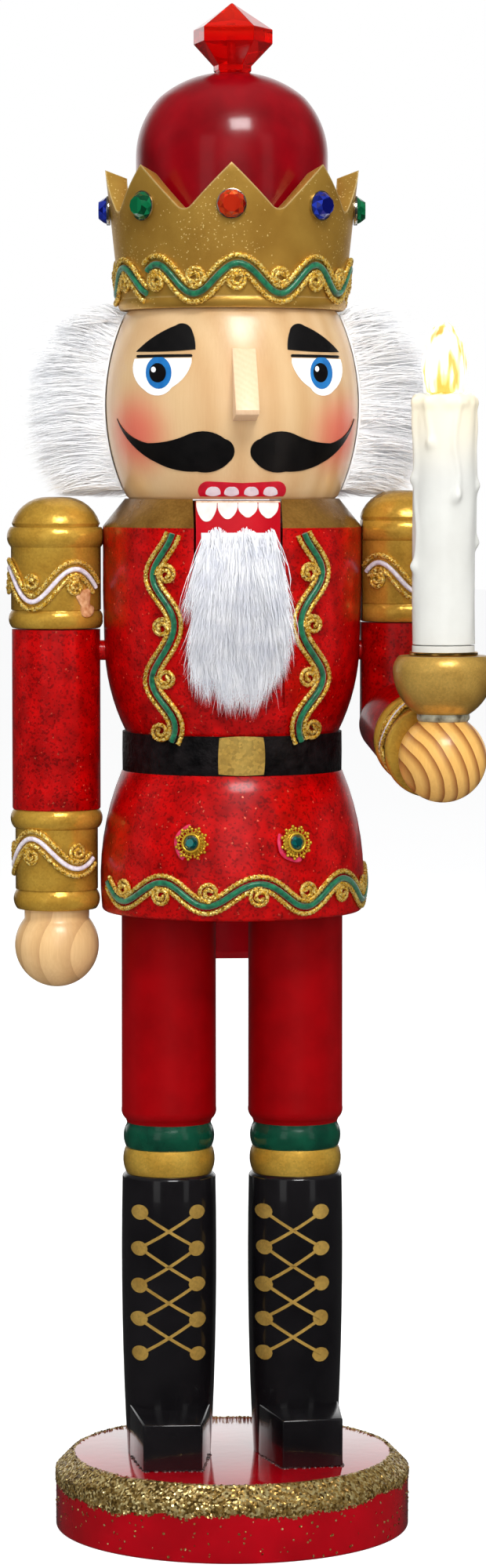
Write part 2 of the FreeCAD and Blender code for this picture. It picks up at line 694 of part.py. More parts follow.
def front_braid(side):
    """Braid down one side of the chest, from the collar over the top edge of the belt."""
    shell = chest(GLUE_GAP + BRAID_THICKNESS).cut(chest(GLUE_GAP))
    low_x = side * FRONT_BRAID_X - FRONT_BRAID_HALF_WIDTH
    high_x = low_x + 2 * FRONT_BRAID_HALF_WIDTH
    return shell.common(block((low_x, -BASE_R, 199.0), (high_x, 0, COLLAR_Z - 0.2)))


def arm_band(x, raise_z, radius, low, high):
    ring = band([(radius, low), (radius, high)])
    ring.translate(V(x, 0, raise_z))
    side = math.copysign(1, x)
    return ring.cut(half_space(V(side * (ARM_FLAT_X + 1.0), 0, 0), V(-side, 0, 0)))


def right_cuff_braid():
    return along_forearm(band([(10.3, 34.6), (10.3, 47.6)]))


def button(place):
    """Pressed metal rosette, dished round the stone."""
    rim = [(1.9, 0.0), (BUTTON_R - 0.9, 0.0), (BUTTON_R, 0.5), (BUTTON_R - 0.2, 1.3), (2.5, 1.1), (2.5, 1.9),
           (1.9, 1.9)]
    return place(turned(rim))


def button_stone(place):
    stone = turned([(0, 0.0), (1.85, 0.0), (1.85, 1.9), (1.3, 2.6), (0, 2.6)])
    return place(stone)


def on_skirt(x, z):
    """Placer that lays a solid made flat at the origin on the skirt's front at x and height z."""
    skirt_r = 32.3
    azimuth = math.asin(x / skirt_r)
    lean = 8.0

    def place(solid):
        solid.rotate(V(0, 0, 0), V(1, 0, 0), 90 - lean)
        solid.translate(V(0, -skirt_r - 0.35, z))
        solid.rotate(V(0, 0, 0), UP, math.degrees(azimuth))
        return solid
    return place


# ---- the whole figure ----

def nodes():
    parts = {
        "base_disc": base_disc().cut(screw_access()),
        "base_screws": base_screws(),
        "left_leg": leg(-1),
        "right_leg": leg(1),
        "left_foot": foot(-1, LEFT_TOE),
        "right_foot": foot(1, RIGHT_TOE),
        "leg_dowels": leg_dowels(),
        "coat_skirt": skirt(),
        "body_dowel": body_dowel(),
        "coat_torso": torso(),
        "head_dowels": head_dowels(),
        "jaw_lever": jaw_lever(),
        "jaw_pin": jaw_pin(),
        "beard": beard(),
        "head": head(),
        "nose": nose(),
        "hair": hair(),
        "crown_dowel": crown_dowel(),
        "crown": crown(),
        "cap": cap(),
        "finial_pin": finial_pin(),
        "finial_gem": finial_gem(),
        "arm_dowels": arm_dowels(),
        "hand_dowels": hand_dowels(),
        "left_arm": left_arm(),
        "left_hand": left_hand(),
        "right_upper_arm": right_upper_arm(),
        "right_forearm": right_forearm(),
        "right_hand": right_hand(),
        "cup_pin": cup_pin(),
        "candle_cup": candle_cup(),
        "candle_ring": candle_ring(),
        "battery_holder": battery_holder(),
        "contact_spring": contact_spring(),
        "battery_cell": battery_cell(),
        "contact_plate": contact_plate(),
        "led_socket": led_socket(),
        "candle_sleeve": candle_sleeve(),
        "led": led(),
        "flame_lens": flame_lens(),
        "crown_braid": crown_braid(),
        "skirt_braid": skirt_braid(),
        "left_front_braid": front_braid(-1),
        "right_front_braid": front_braid(1),
        "left_shoulder_braid": arm_band(LEFT_ARM_X, 0.0, 11.2, 232.0, 243.6),
        "right_shoulder_braid": arm_band(RIGHT_ARM_X, RIGHT_ARM_RAISE, 11.2, 232.0, 243.6),
        "left_cuff_braid": arm_band(LEFT_ARM_X, 0.0, 10.3, 164.6, 176.4),
        "right_cuff_braid": right_cuff_braid(),
    }
    for index in range(CROWN_POINTS):
        parts["crown_stone_%d" % (index + 1)] = crown_stone(index)
    for name, (x, z) in zip(("left", "right"), BUTTONS):
        parts[name + "_button"] = button(on_skirt(x, z))
        parts[name + "_button_stone"] = button_stone(on_skirt(x, z))
    return parts


os.makedirs("parts", exist_ok=True)
for name, shape in nodes().items():
    shape.exportStep("parts/%s.step" % name)
    print(name, shape.isValid(), len(shape.Solids), round(shape.Volume, 1))
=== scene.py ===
import math
import random

import bpy
import numpy as np
from mathutils import Matrix, Vector


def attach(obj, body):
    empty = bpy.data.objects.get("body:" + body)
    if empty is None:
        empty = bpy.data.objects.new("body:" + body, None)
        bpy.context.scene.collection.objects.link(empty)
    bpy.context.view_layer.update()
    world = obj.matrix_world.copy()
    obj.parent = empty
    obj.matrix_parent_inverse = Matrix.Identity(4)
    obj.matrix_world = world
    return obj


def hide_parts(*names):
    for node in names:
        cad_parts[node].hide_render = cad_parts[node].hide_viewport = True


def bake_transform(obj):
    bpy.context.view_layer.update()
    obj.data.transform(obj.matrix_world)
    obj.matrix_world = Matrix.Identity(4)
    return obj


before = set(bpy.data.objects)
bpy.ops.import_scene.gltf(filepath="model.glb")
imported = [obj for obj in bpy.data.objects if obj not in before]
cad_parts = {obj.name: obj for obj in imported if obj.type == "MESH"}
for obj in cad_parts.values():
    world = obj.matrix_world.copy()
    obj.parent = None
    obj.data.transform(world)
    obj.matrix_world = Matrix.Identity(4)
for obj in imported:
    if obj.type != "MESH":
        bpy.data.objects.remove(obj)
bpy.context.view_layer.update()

# ---- The round base ----
# A disc of fibreboard with a chamfered rim, lacquered crimson. Gold glitter was shaken onto the wet
# chamfer and ran over its lower edge, more at the left, with single specks all over the side.

MM = 0.001


def deselected():
    """Leave edit mode and deselect everything, so that the next operator acts on its own piece."""
    if bpy.context.object and bpy.context.object.mode != "OBJECT":
        bpy.ops.object.mode_set(mode="OBJECT")
    bpy.ops.object.select_all(action="DESELECT")


def only(piece):
    """Select one piece and make it the active one."""
    deselected()
    piece.select_set(True)
    bpy.context.view_layer.objects.active = piece


def arc_points(start, middle, end, steps):
    """Points along the circle through three points, after the first and up to the last."""
    a, b, c = (complex(*point) for point in (start, middle, end))
    w = (c - a) / (b - a)
    centre = (b - a) * (w - abs(w) ** 2) / (2j * w.imag) + a
    first = math.atan2((a - centre).imag, (a - centre).real)
    sweep = (math.atan2((c - centre).imag, (c - centre).real) - first) % (2 * math.pi)
    over = (math.atan2((b - centre).imag, (b - centre).real) - first) % (2 * math.pi)
    if over > sweep:
        sweep -= 2 * math.pi
    angles = [first + sweep * (k + 1) / steps for k in range(steps)]
    return [(centre.real + abs(a - centre) * math.cos(t), centre.imag + abs(a - centre) * math.sin(t))
            for t in angles]


def rings_of(outline, steps):
    """Every point of an outline in which four numbers are an arc's middle and end."""
    rings = [outline[0]]
    for step in outline[1:]:
        rings += arc_points(rings[-1], step[:2], step[2:], steps) if len(step) == 4 else [step]
    return rings


def opened(piece):
    """Enter edit mode on one piece with all of it selected."""
    only(piece)
    bpy.ops.object.mode_set(mode="EDIT")
    bpy.ops.mesh.select_all(action="SELECT")


def closed():
    """Turn all faces outwards and leave edit mode."""
    bpy.ops.mesh.select_all(action="SELECT")
    bpy.ops.mesh.normals_make_consistent(inside=False)
    bpy.ops.object.mode_set(mode="OBJECT")


def moved_in():
    """Take the active piece's own place, turn and size into its mesh."""
    bpy.ops.object.transform_apply(location=True, rotation=True, scale=True)


def pulled(x, y, z):
    """Extrude what is selected by a distance in millimetres."""
    bpy.ops.mesh.extrude_region_move(TRANSFORM_OT_translate={"value": (x * MM, y * MM, z * MM)})


def disc(name, sides, radius, height, centre=(0.0, 0.0), turn=0.0):
    """A flat polygon in millimetres, open for editing, to raise a solid from."""
    deselected()
    bpy.ops.mesh.primitive_circle_add(vertices=sides, radius=radius * MM, fill_type="NGON",
                                      location=(centre[0] * MM, centre[1] * MM, height * MM),
                                      rotation=(0, 0, turn))
    piece = bpy.context.object
    piece.name = name
    moved_in()
    opened(piece)
    return piece


def raised(rings, centre=(0.0, 0.0)):
    """Raise the selected polygon from ring to ring: radius, height and perhaps a turn on the way."""
    radius, height = rings[0][:2]
    for next_radius, next_height, *turn in rings[1:]:
        middle = (centre[0] * MM, centre[1] * MM, next_height * MM)
        pulled(0, 0, next_height - height)
        if next_radius < 1e-6:
            bpy.ops.mesh.merge(type="CENTER")
            break
        scale = next_radius / radius
        bpy.ops.transform.resize(value=(scale, scale, 1), center_override=middle)
        if turn and turn[0]:
            bpy.ops.transform.rotate(value=turn[0], orient_axis="Z", center_override=middle)
        radius, height = next_radius, next_height


def turned(name, outline, centre=(0.0, 0.0), sides=96, steps=8):
    """Lathe a solid from its lowest ring up. The outline holds radius and height in millimetres."""
    rings = rings_of(outline, steps)
    piece = disc(name, sides, *rings[0], centre)
    raised(rings, centre)
    closed()
    return piece


def modified(piece, kind, **settings):
    """Add a modifier with these settings and apply it."""
    only(piece)
    modifier = piece.modifiers.new(kind, kind)
    for key, value in settings.items():
        setattr(modifier, key, value)
    bpy.ops.object.modifier_apply(modifier=modifier.name)


def eased(piece, width, segments=2, angle=30):
    """Round the hard edges, as sanding and paint do."""
    modified(piece, "BEVEL", width=width * MM, segments=segments, limit_method="ANGLE",
             angle_limit=math.radians(angle))


def surfaced(piece, material, angle=40):
    """Smooth the shading up to an angle and give the piece its material."""
    only(piece)
    bpy.ops.object.shade_smooth_by_angle(angle=math.radians(angle))
    piece.data.materials.clear()
    piece.data.materials.append(material)


def fitted(piece, body, slot, *nodes):
    """Ride on a body and stand for CAD nodes, which are hidden. The slot is not used."""
    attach(piece, body)
    if nodes:
        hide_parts(*nodes)


def mesh_piece(name, points, faces):
    """A piece from its points and faces, for what no primitive can start."""
    mesh = bpy.data.meshes.new(name)
    mesh.from_pydata(np.asarray(points).tolist(), [], [list(face) for face in faces])
    mesh.update()
    piece = bpy.data.objects.new(name, mesh)
    bpy.context.scene.collection.objects.link(piece)
    return piece


def node(tree, kind, settings=None, sockets=None):
    """Add a shader node. A socket is given a plain value or another node's output."""
    made = tree.nodes.new("ShaderNode" + kind)
    for key, value in (settings or {}).items():
        setattr(made, key, value)
    for key, value in (sockets or {}).items():
        if isinstance(value, bpy.types.NodeSocket):
            tree.links.new(value, made.inputs[key])
        else:
            made.inputs[key].default_value = value
    return made


def effect(name, inputs, outputs):
    """An empty node group with named inputs and outputs, and the sockets at its two ends."""
    group = bpy.data.node_groups.new(name, "ShaderNodeTree")
    for socket, value in inputs.items():
        kind = "NodeSocketColor" if isinstance(value, tuple) else "NodeSocketFloat"
        group.interface.new_socket(socket, in_out="INPUT", socket_type=kind).default_value = value
    for socket, kind in outputs.items():
        group.interface.new_socket(socket, in_out="OUTPUT", socket_type="NodeSocket" + kind)
    return group, group.nodes.new("NodeGroupInput").outputs, group.nodes.new("NodeGroupOutput").inputs


def placed(tree, group, **values):
    """Put an effect in a material. Underscores in a value's name stand for spaces."""
    used = tree.nodes.new("ShaderNodeGroup")
    used.node_tree = group
    for key, value in values.items():
        socket = used.inputs[key.replace("_", " ")]
        if isinstance(value, bpy.types.NodeSocket):
            tree.links.new(value, socket)
        else:
            socket.default_value = value
    return used.outputs


def tone(red, green, blue):
    """A screen colour of 0 to 255 as the linear colour that a shader takes."""
    return tuple((c / 255 / 12.92) if c <= 10 else ((c / 255 + 0.055) / 1.055) ** 2.4
                 for c in (red, green, blue)) + (1.0,)


def coated(name, **plain):
    """A new material, its tree and its shader, with the shader's plain values set."""
    material = bpy.data.materials.new(name)
    material.use_nodes = True
    shader = material.node_tree.nodes["Principled BSDF"]
    for key, value in plain.items():
        shader.inputs[key.replace("_", " ")].default_value = value
    return material, material.node_tree, shader.inputs


def bumped(tree, sockets, height, depth, strength=1.0):
    """Feed a height into the shader's normal, depth in metres."""
    bump = node(tree, "Bump", sockets={"Strength": strength, "Distance": depth, "Height": height})
    tree.links.new(bump.outputs["Normal"], sockets["Normal"])


def place_in(tree):
    """Where a point is on the object."""
    return node(tree, "TexCoord").outputs["Object"]


def worked(tree, operation, first, second):
    """Arithmetic on two values."""
    return node(tree, "Math", {"operation": operation}, {0: first, 1: second}).outputs[0]


def vector_worked(tree, operation, first, second):
    """Arithmetic on two vectors."""
    return node(tree, "VectorMath", {"operation": operation}, {0: first, 1: second}).outputs[0]


def carried(tree, value, low, high, to_low=0.0, to_high=1.0, curve="LINEAR"):
    """A value carried over from one range to another."""
    return node(tree, "MapRange", {"interpolation_type": curve},
                {"Value": value, "From Min": low, "From Max": high, "To Min": to_low,
                 "To Max": to_high}).outputs[0]


def mixed(tree, amount, first, second, kind="MIX"):
    """The second colour over the first."""
    return node(tree, "Mix", {"data_type": "RGBA", "blend_type": kind},
                {0: amount, 6: first, 7: second}).outputs[2]


def ramped(tree, value, stops, curve="LINEAR"):
    """Colours along a value, each stop a position and a colour."""
    ramp = node(tree, "ValToRGB", sockets={0: value})
    ramp.color_ramp.interpolation = curve
    ends = ramp.color_ramp.elements
    ends[1].position, ends[1].color = stops[-1]
    ends[0].position, ends[0].color = stops[0]
    for position, colour in stops[1:-1]:
        ends.new(position).color = colour
    return ramp.outputs[0]


def mottle_effect():
    """Two colours mixed by soft clouds."""
    group, given, made = effect("Mottle", {"Light": (1.0, 1.0, 1.0, 1.0), "Dark": (0.0, 0.0, 0.0, 1.0),
                                           "Size": 0.01, "Contrast": 2.0},
                                {"Color": "Color", "Cloud": "Float"})
    scale = worked(group, "DIVIDE", 1.0, given["Size"])
    cloud = node(group, "TexNoise", sockets={"Vector": place_in(group), "Scale": scale, "Detail": 3.0})
    centred = worked(group, "SUBTRACT", cloud.outputs["Fac"], 0.5)
    spread = node(group, "Math", {"operation": "MULTIPLY_ADD", "use_clamp": True},
                  {0: centred, 1: given["Contrast"], 2: 0.5}).outputs[0]
    group.links.new(mixed(group, spread, given["Dark"], given["Light"]), made["Color"])
    group.links.new(spread, made["Cloud"])
    return group


def peel_effect():
    """Height of the fine ripple that a brushed or sprayed lacquer dries with."""
    group, given, made = effect("Lacquer ripple", {"Size": 0.002, "Stretch": 1.0}, {"Height": "Float"})
    scale = worked(group, "DIVIDE", 1.0, given["Size"])
    squeeze = node(group, "CombineXYZ", sockets={0: 1.0, 1: 1.0, 2: given["Stretch"]}).outputs[0]
    long = vector_worked(group, "MULTIPLY", place_in(group), squeeze)
    noise = node(group, "TexNoise", sockets={"Vector": long, "Scale": scale, "Detail": 2.0})
    group.links.new(noise.outputs["Fac"], made["Height"])
    return group


def flake_effect():
    """Glitter: each cell has its own shade, and its own tilt away from the surface."""
    group, given, made = effect("Glitter flakes", {"Size": 0.0004, "Tilt": 1.0},
                                {"Shade": "Float", "Other shade": "Float", "Normal": "Vector"})
    scale = worked(group, "DIVIDE", 1.0, given["Size"])
    cell = node(group, "TexVoronoi", sockets={"Vector": place_in(group), "Scale": scale}).outputs["Color"]
    parts = node(group, "SeparateColor", sockets={0: cell}).outputs
    lean = vector_worked(group, "SUBTRACT", cell, (0.5, 0.5, 0.5))
    lean = node(group, "VectorMath", {"operation": "SCALE"}, {0: lean, 3: given["Tilt"]}).outputs[0]
    leant = vector_worked(group, "ADD", node(group, "NewGeometry").outputs["Normal"], lean)
    leant = node(group, "VectorMath", {"operation": "NORMALIZE"}, {0: leant}).outputs[0]
    group.links.new(parts[0], made["Shade"])
    group.links.new(parts[1], made["Other shade"])
    group.links.new(leant, made["Normal"])
    return group


MOTTLE = mottle_effect()
PEEL = peel_effect()
FLAKES = flake_effect()


def clouded(name, light, dark, size, contrast=2.0, ripple=None, depth=0.0001, strength=0.5, stretch=1.0,
            **plain):
    """A material in two tones of one colour, with a fine ripple on its surface if one is given."""
    material, tree, sockets = coated(name, **plain)
    cloudy = placed(tree, MOTTLE, Light=light, Dark=dark, Size=size, Contrast=contrast)
    tree.links.new(cloudy["Color"], sockets["Base Color"])
    if ripple:
        bumped(tree, sockets, placed(tree, PEEL, Size=ripple, Stretch=stretch)["Height"], depth, strength)
    return material


def crimson_lacquer(name, light, dark, roughness, ripple, stretch=1.0, gloss=0.7, haze=0.06, shine=0.15):
    """Transparent crimson over primed wood, brushed on and left glossy."""
    return clouded(name, light, dark, 0.012, 1.6, ripple, 0.00012, 0.5, stretch, Roughness=roughness,
                   Specular_IOR_Level=shine, Coat_Weight=gloss, Coat_Roughness=haze)


def gold_glitter():
    """Chips of gold foil in clear varnish."""
    material, tree, sockets = coated("gold_glitter", Metallic=0.75, Roughness=0.3)
    flakes = placed(tree, FLAKES, Size=0.00055, Tilt=0.9)
    foil = ramped(tree, flakes["Shade"], [(0.0, tone(92, 66, 28)), (0.55, tone(196, 158, 84)),
                                          (1.0, tone(255, 236, 170))])
    tree.links.new(foil, sockets["Base Color"])
    tree.links.new(flakes["Normal"], sockets["Normal"])
    return material


BASE_R, BASE_SIDE, BASE_TOP, CHAMFER_R = 44.5, 14.6, 18.6, 40.6
base = turned("base_disc_lacquered", [(43.8, 0.0), (44.3, 0.2, BASE_R, 0.7), (BASE_R, BASE_SIDE),
                                      (CHAMFER_R, BASE_TOP)], sides=160)
eased(base, 0.5)
surfaced(base, crimson_lacquer("base_crimson", tone(174, 0, 18), tone(138, 0, 10), 0.12, 0.0035, gloss=1.0,
                               shine=0.5))
fitted(base, "figure", "crimson_lacquer", "base_disc")


def spill_depth(angle):
    """How far down the side the glitter ran, in millimetres, at an angle from +X."""
    left = 0.5 + 0.5 * math.cos(angle - math.radians(215))
    waves = 0.5 * math.sin(5 * angle + 1.1) + 0.35 * math.sin(13 * angle + 0.4) + 0.3 * math.sin(29 * angle)
    return max(0.4, 1.3 + 2.2 * left + waves)


def glitter_spot(angle, along):
    """Point and normal on the glittered rim. along runs from the top edge, 0, to the spill's edge, 1."""
    chamfer = math.hypot(BASE_R - CHAMFER_R, BASE_TOP - BASE_SIDE)
    travel = along * (chamfer + 0.8 + spill_depth(angle)) - 0.8
    if travel < 0:
        radius, height, out, up = CHAMFER_R + travel, BASE_TOP, 0.0, 1.0
    elif travel < chamfer:
        share = travel / chamfer
        radius = CHAMFER_R + share * (BASE_R - CHAMFER_R)
        height = BASE_TOP - share * (BASE_TOP - BASE_SIDE)
        out, up = 0.7, 0.7
    else:
        radius, height, out, up = BASE_R, BASE_SIDE - (travel - chamfer), 1.0, 0.0
    point = Vector((radius * math.cos(angle), radius * math.sin(angle), height))
    return point * MM, Vector((out * math.cos(angle), out * math.sin(angle), up)).normalized()


def scattered(name, spots, size, tilt, seed):
    """Six-sided foil chips lying on spots, each a point and a normal, with a little disorder."""
    chance = random.Random(seed)
    points, faces = [], []
    for point, normal in spots:
        lean = Vector([chance.uniform(-tilt, tilt) for _ in range(3)])
        up = (normal + lean).normalized()
        across = up.orthogonal().normalized()
        along = up.cross(across)
        radius = size * MM * chance.uniform(0.6, 1.25)
        middle = point + normal * radius * 0.35
        turn = chance.uniform(0, math.pi)
        first = len(points)
        for k in range(6):
            a = turn + k * math.pi / 3
            points.append(middle + (across * math.cos(a) + along * math.sin(a)) * radius)
        faces.append([first + k for k in range(6)])
    return mesh_piece(name, points, faces)


def glitter_band():
    """The varnish that holds the chips, with its ragged lower edge."""
    turns, rows = 240, 10
    points = []
    for i in range(turns):
        angle = 2 * math.pi * i / turns
        for j in range(rows):
            point, normal = glitter_spot(angle, j / (rows - 1))
            points.append(point + normal * (0.02 if j in (0, rows - 1) else 0.16) * MM)
    faces = [(i * rows + j, i * rows + j + 1, (i + 1) % turns * rows + j + 1, (i + 1) % turns * rows + j)
             for i in range(turns) for j in range(rows - 1)]
    band = mesh_piece("glitter_band", points, faces)
    modified(band, "SOLIDIFY", thickness=0.3 * MM, offset=-1.0)
    return band


GLITTER = gold_glitter()
band = glitter_band()
surfaced(band, GLITTER)
fitted(band, "figure", "gold_paint")

chance = random.Random(4)
rim_spots = [glitter_spot(chance.uniform(0, 2 * math.pi), chance.random() ** 0.85 * 1.04)
             for _ in range(9500)]
for _ in range(520):
    side_angle = chance.uniform(0, 2 * math.pi)
    side_z = BASE_SIDE - 0.8 - 13.0 * chance.random() ** 1.5
    out = Vector((math.cos(side_angle), math.sin(side_angle), 0))
    rim_spots.append((Vector((out.x * BASE_R, out.y * BASE_R, side_z)) * MM, out))
chips = scattered("glitter_chips", rim_spots, 0.3, 0.45, 11)
surfaced(chips, GLITTER, 1)
fitted(chips, "figure", "gold_paint")

# ---- Boots, garters and trouser legs ----
# Each leg is turned from one stick of hardwood: a glossy black boot, a gold and a green ring, and a
# crimson trouser leg under the coat. The gold lacing is painted on by hand with a fine brush.

LEG_X, BOOT_TOP, GOLD_TOP, GREEN_TOP, COAT_BOTTOM = 15.9, 89.8, 96.2, 102.0, 155.9
BOOT = [(10.5, BASE_TOP), (11.9, 65.0, 11.7, 89.0), (11.0, BOOT_TOP)]


def gold_paint(name, light, dark, roughness, size=0.0005, grain=0.35):
    """Bronze powder in varnish: fine metal grains, a little uneven, with painted shade where it turns away.
    """
    material, tree, sockets = coated(name, Metallic=0.55, Roughness=roughness)
    cloudy = placed(tree, MOTTLE, Light=light, Dark=dark, Size=0.009, Contrast=1.8)
    flakes = placed(tree, FLAKES, Size=size, Tilt=grain * 0.35)
    shade = carried(tree, flakes["Shade"], 0.0, 1.0, 1.0 - grain)
    grains = mixed(tree, 1.0, cloudy["Color"], shade, "MULTIPLY")
    # Painted shade: the colour is darkened towards the outline, where the surface turns away from view.
    facing = node(tree, "LayerWeight", sockets={"Blend": 0.4}).outputs["Facing"]
    rim = carried(tree, facing, 0.15, 0.85, 1.0, 0.4)
    tree.links.new(mixed(tree, 1.0, grains, rim, "MULTIPLY"), sockets["Base Color"])
    bump = node(tree, "Bump", sockets={"Strength": 0.35, "Distance": 0.0001, "Normal": flakes["Normal"],
                                       "Height": placed(tree, PEEL, Size=0.0012)["Height"]})
    tree.links.new(bump.outputs["Normal"], sockets["Normal"])
    return material


BOOT_BLACK = clouded("boot_black", tone(22, 20, 22), tone(7, 6, 8), 0.015, 2.0, 0.004, 0.00012, 0.6, 0.35,
                     Roughness=0.2, Coat_Weight=0.6, Coat_Roughness=0.05)
BRIGHT_GOLD = gold_paint("bright_gold", tone(250, 206, 92), tone(206, 150, 48), 0.3, grain=0.18)
LACING_GOLD = gold_paint("lacing_gold", tone(226, 186, 96), tone(188, 146, 66), 0.5, grain=0.2)
TROUSER_RED = crimson_lacquer("trouser_crimson", tone(150, 0, 6), tone(116, 0, 3), 0.45, 0.003, 0.2, 0.0,
                              shine=0.06)
GARTER_GREEN = clouded("garter_green", tone(8, 74, 52), tone(4, 44, 32), 0.006, ripple=0.002, Roughness=0.22,
                       Coat_Weight=0.5)


def skin(outline):
    """Radius of a turned outline at any height, in millimetres."""
    rings = rings_of(outline, 24)
    heights = [ring[1] for ring in rings]
    radii = [ring[0] for ring in rings]
    return lambda height: float(np.interp(height, heights, radii))


def painted(name, shapes, radius_at, proud, centre=(0.0, 0.0), turn=0.0, step=1.0, wall=0.25):
    """Brush strokes on a turned surface. Each shape is an outline in millimetres as seen from the
    front, and is cut into strips, laid on the surface and given the paint's thickness."""
    points, faces = [], []
    for shape in shapes:
        ring = rings_of(shape, 8)
        if math.dist(ring[0], ring[-1]) < 1e-6:
            ring = ring[:-1]
        faces.append([len(points) + k for k in range(len(ring))])
        points += [(across, 0.0, height) for across, height in ring]
    paint = mesh_piece(name, points, faces)
    opened(paint)
    bpy.ops.mesh.quads_convert_to_tris()
    low, high = np.min(points, axis=0), np.max(points, axis=0)
    for k in range(math.ceil(low[0] / step), math.floor(high[0] / step) + 1):
        bpy.ops.mesh.select_all(action="SELECT")
        bpy.ops.mesh.bisect(plane_co=(k * step, 0, 0), plane_no=(1, 0, 0))
    for k in range(math.ceil(low[2] / step / 2), math.floor(high[2] / step / 2) + 1):
        bpy.ops.mesh.select_all(action="SELECT")
        bpy.ops.mesh.bisect(plane_co=(0, 0, k * step * 2), plane_no=(0, 0, 1))
    bpy.ops.object.mode_set(mode="OBJECT")
    for vertex in paint.data.vertices:
        across, _, height = vertex.co
        radius = radius_at(height)
        angle = math.asin(max(-1.0, min(1.0, across / radius))) + math.radians(turn)
        radius += proud
        vertex.co = Vector((centre[0] + radius * math.sin(angle), centre[1] - radius * math.cos(angle),
                            height)) * MM
    opened(paint)
    closed()
    if sum(face.normal.y for face in paint.data.polygons) > 0:
        paint.data.flip_normals()
    modified(paint, "SOLIDIFY", thickness=wall * MM, offset=-1.0)
    return paint


def dot(across, height, half_width, half_height=None):
    """Outline of a round or oval dab."""
    half_height = half_height or half_width
    return [(across - half_width, height), (across, height + half_height, across + half_width, height),
            (across, height - half_height, across - half_width, height)]


def oval(across, height, half_width, half_height):
    """Outline of an upright oval, point by point."""
    angles = [k * math.pi / 14 for k in range(28)]
    return [(across + half_width * math.cos(a), height + half_height * math.sin(a)) for a in angles]


def stroke(start, end, width):
    """Outline of a straight stroke."""
    along = Vector(end) - Vector(start)
    side = Vector((-along.y, along.x)).normalized() * width / 2
    return [tuple(Vector(start) + side), tuple(Vector(end) + side), tuple(Vector(end) - side),
            tuple(Vector(start) - side)]


LACE_ROWS = [80.8, 72.0, 62.8, 54.0, 45.1]
boot_skin = skin(BOOT)
for side, word in ((-1, "left"), (1, "right")):
    place = (side * LEG_X, 0.0)
    nodes = (word + "_leg",)
    boot = turned(word + "_boot", BOOT + [(0, BOOT_TOP)], place)
    eased(boot, 0.25)
    surfaced(boot, BOOT_BLACK)
    fitted(boot, "figure", "boot_and_trouser", *nodes)
    ring = turned(word + "_gold_ring", [(10.6, BOOT_TOP - 0.2), (11.5, 93.0, 10.9, GOLD_TOP), (0, GOLD_TOP)],
                  place)
    surfaced(ring, BRIGHT_GOLD)
    fitted(ring, "figure", "gold_paint", *nodes)
    green = turned(word + "_green_ring", [(10.6, GOLD_TOP - 0.1), (11.4, 99.1, 10.6, GREEN_TOP),
                                          (10.5, 103.0), (0, 103.0)], place)
    surfaced(green, GARTER_GREEN)
    fitted(green, "figure", "boot_and_trouser", *nodes)
    trouser = turned(word + "_trouser", [(10.5, 102.4), (10.9, 103.4), (11.6, 104.3, 11.85, 106.3),
                                         (11.8, COAT_BOTTOM), (0, COAT_BOTTOM)], place)
    surfaced(trouser, TROUSER_RED)
    fitted(trouser, "figure", "boot_and_trouser", *nodes)
    chance = random.Random(20 + side)
    columns = (-7.6, 6.6) if side < 0 else (-8.2, 5.8)
    dabs = []
    for height in LACE_ROWS:
        for column in columns:
            across = column + chance.uniform(-0.2, 0.2)
            dabs.append(dot(across, height + chance.uniform(-0.3, 0.3), 2.0 + chance.uniform(-0.1, 0.15),
                            1.9 + chance.uniform(-0.15, 0.15)))
    laces = []
    for high, low in zip(LACE_ROWS, LACE_ROWS[1:]):
        laces.append(stroke((columns[0], high), (columns[1], low), 0.75))
        laces.append(stroke((columns[1], high), (columns[0], low), 0.75))
    for name, shapes, proud in ((word + "_lace_dots", dabs, 0.17), (word + "_laces", laces, 0.12)):
        lacing = painted(name, shapes, boot_skin, proud, place)
        surfaced(lacing, LACING_GOLD)
        fitted(lacing, "figure", "gold_paint")

# ---- Feet ----
# Wedge-shaped blocks sawn from lath, dipped in the same black enamel and stuck to the base and the
# boots with hot glue, which squeezed out round their edges.

FOOT_HALF_WIDTH, FOOT_BACK_Y, FOOT_BACK_H, FOOT_SPLAY = 10.05, -5.2, 13.0, 8.3


def foot_block(name, x, toe_y, toe_height, yaw):
    """Wedge block: plan outline pulled up, its top then sloped down to the toe."""
    toe_half = FOOT_HALF_WIDTH - (FOOT_BACK_Y - toe_y) * math.tan(math.radians(FOOT_SPLAY))
    plan = [(-toe_half, toe_y), (toe_half, toe_y), (FOOT_HALF_WIDTH, FOOT_BACK_Y), (FOOT_HALF_WIDTH, -2.2),
            (-FOOT_HALF_WIDTH, -2.2), (-FOOT_HALF_WIDTH, FOOT_BACK_Y)]
    block = mesh_piece(name, [(px * MM, py * MM, BASE_TOP * MM) for px, py in plan], [range(6)])
    opened(block)
    pulled(0, 0, FOOT_BACK_H)
    closed()
    for vertex in block.data.vertices:
        if vertex.co.z > (BASE_TOP + 1) * MM:
            share = (vertex.co.y / MM - FOOT_BACK_Y) / (toe_y - FOOT_BACK_Y)
            vertex.co.z -= max(share, 0.0) * (FOOT_BACK_H - toe_height) * MM
    stance = Matrix.Translation((x * MM, 0, 0)) @ Matrix.Rotation(math.radians(yaw), 4, "Z")
    block.data.transform(stance)
    eased(block, 0.45, 3)
    surfaced(block, BOOT_BLACK, 30)
    return block, [stance @ Vector((px * MM, py * MM, BASE_TOP * MM)) for px, py in plan]


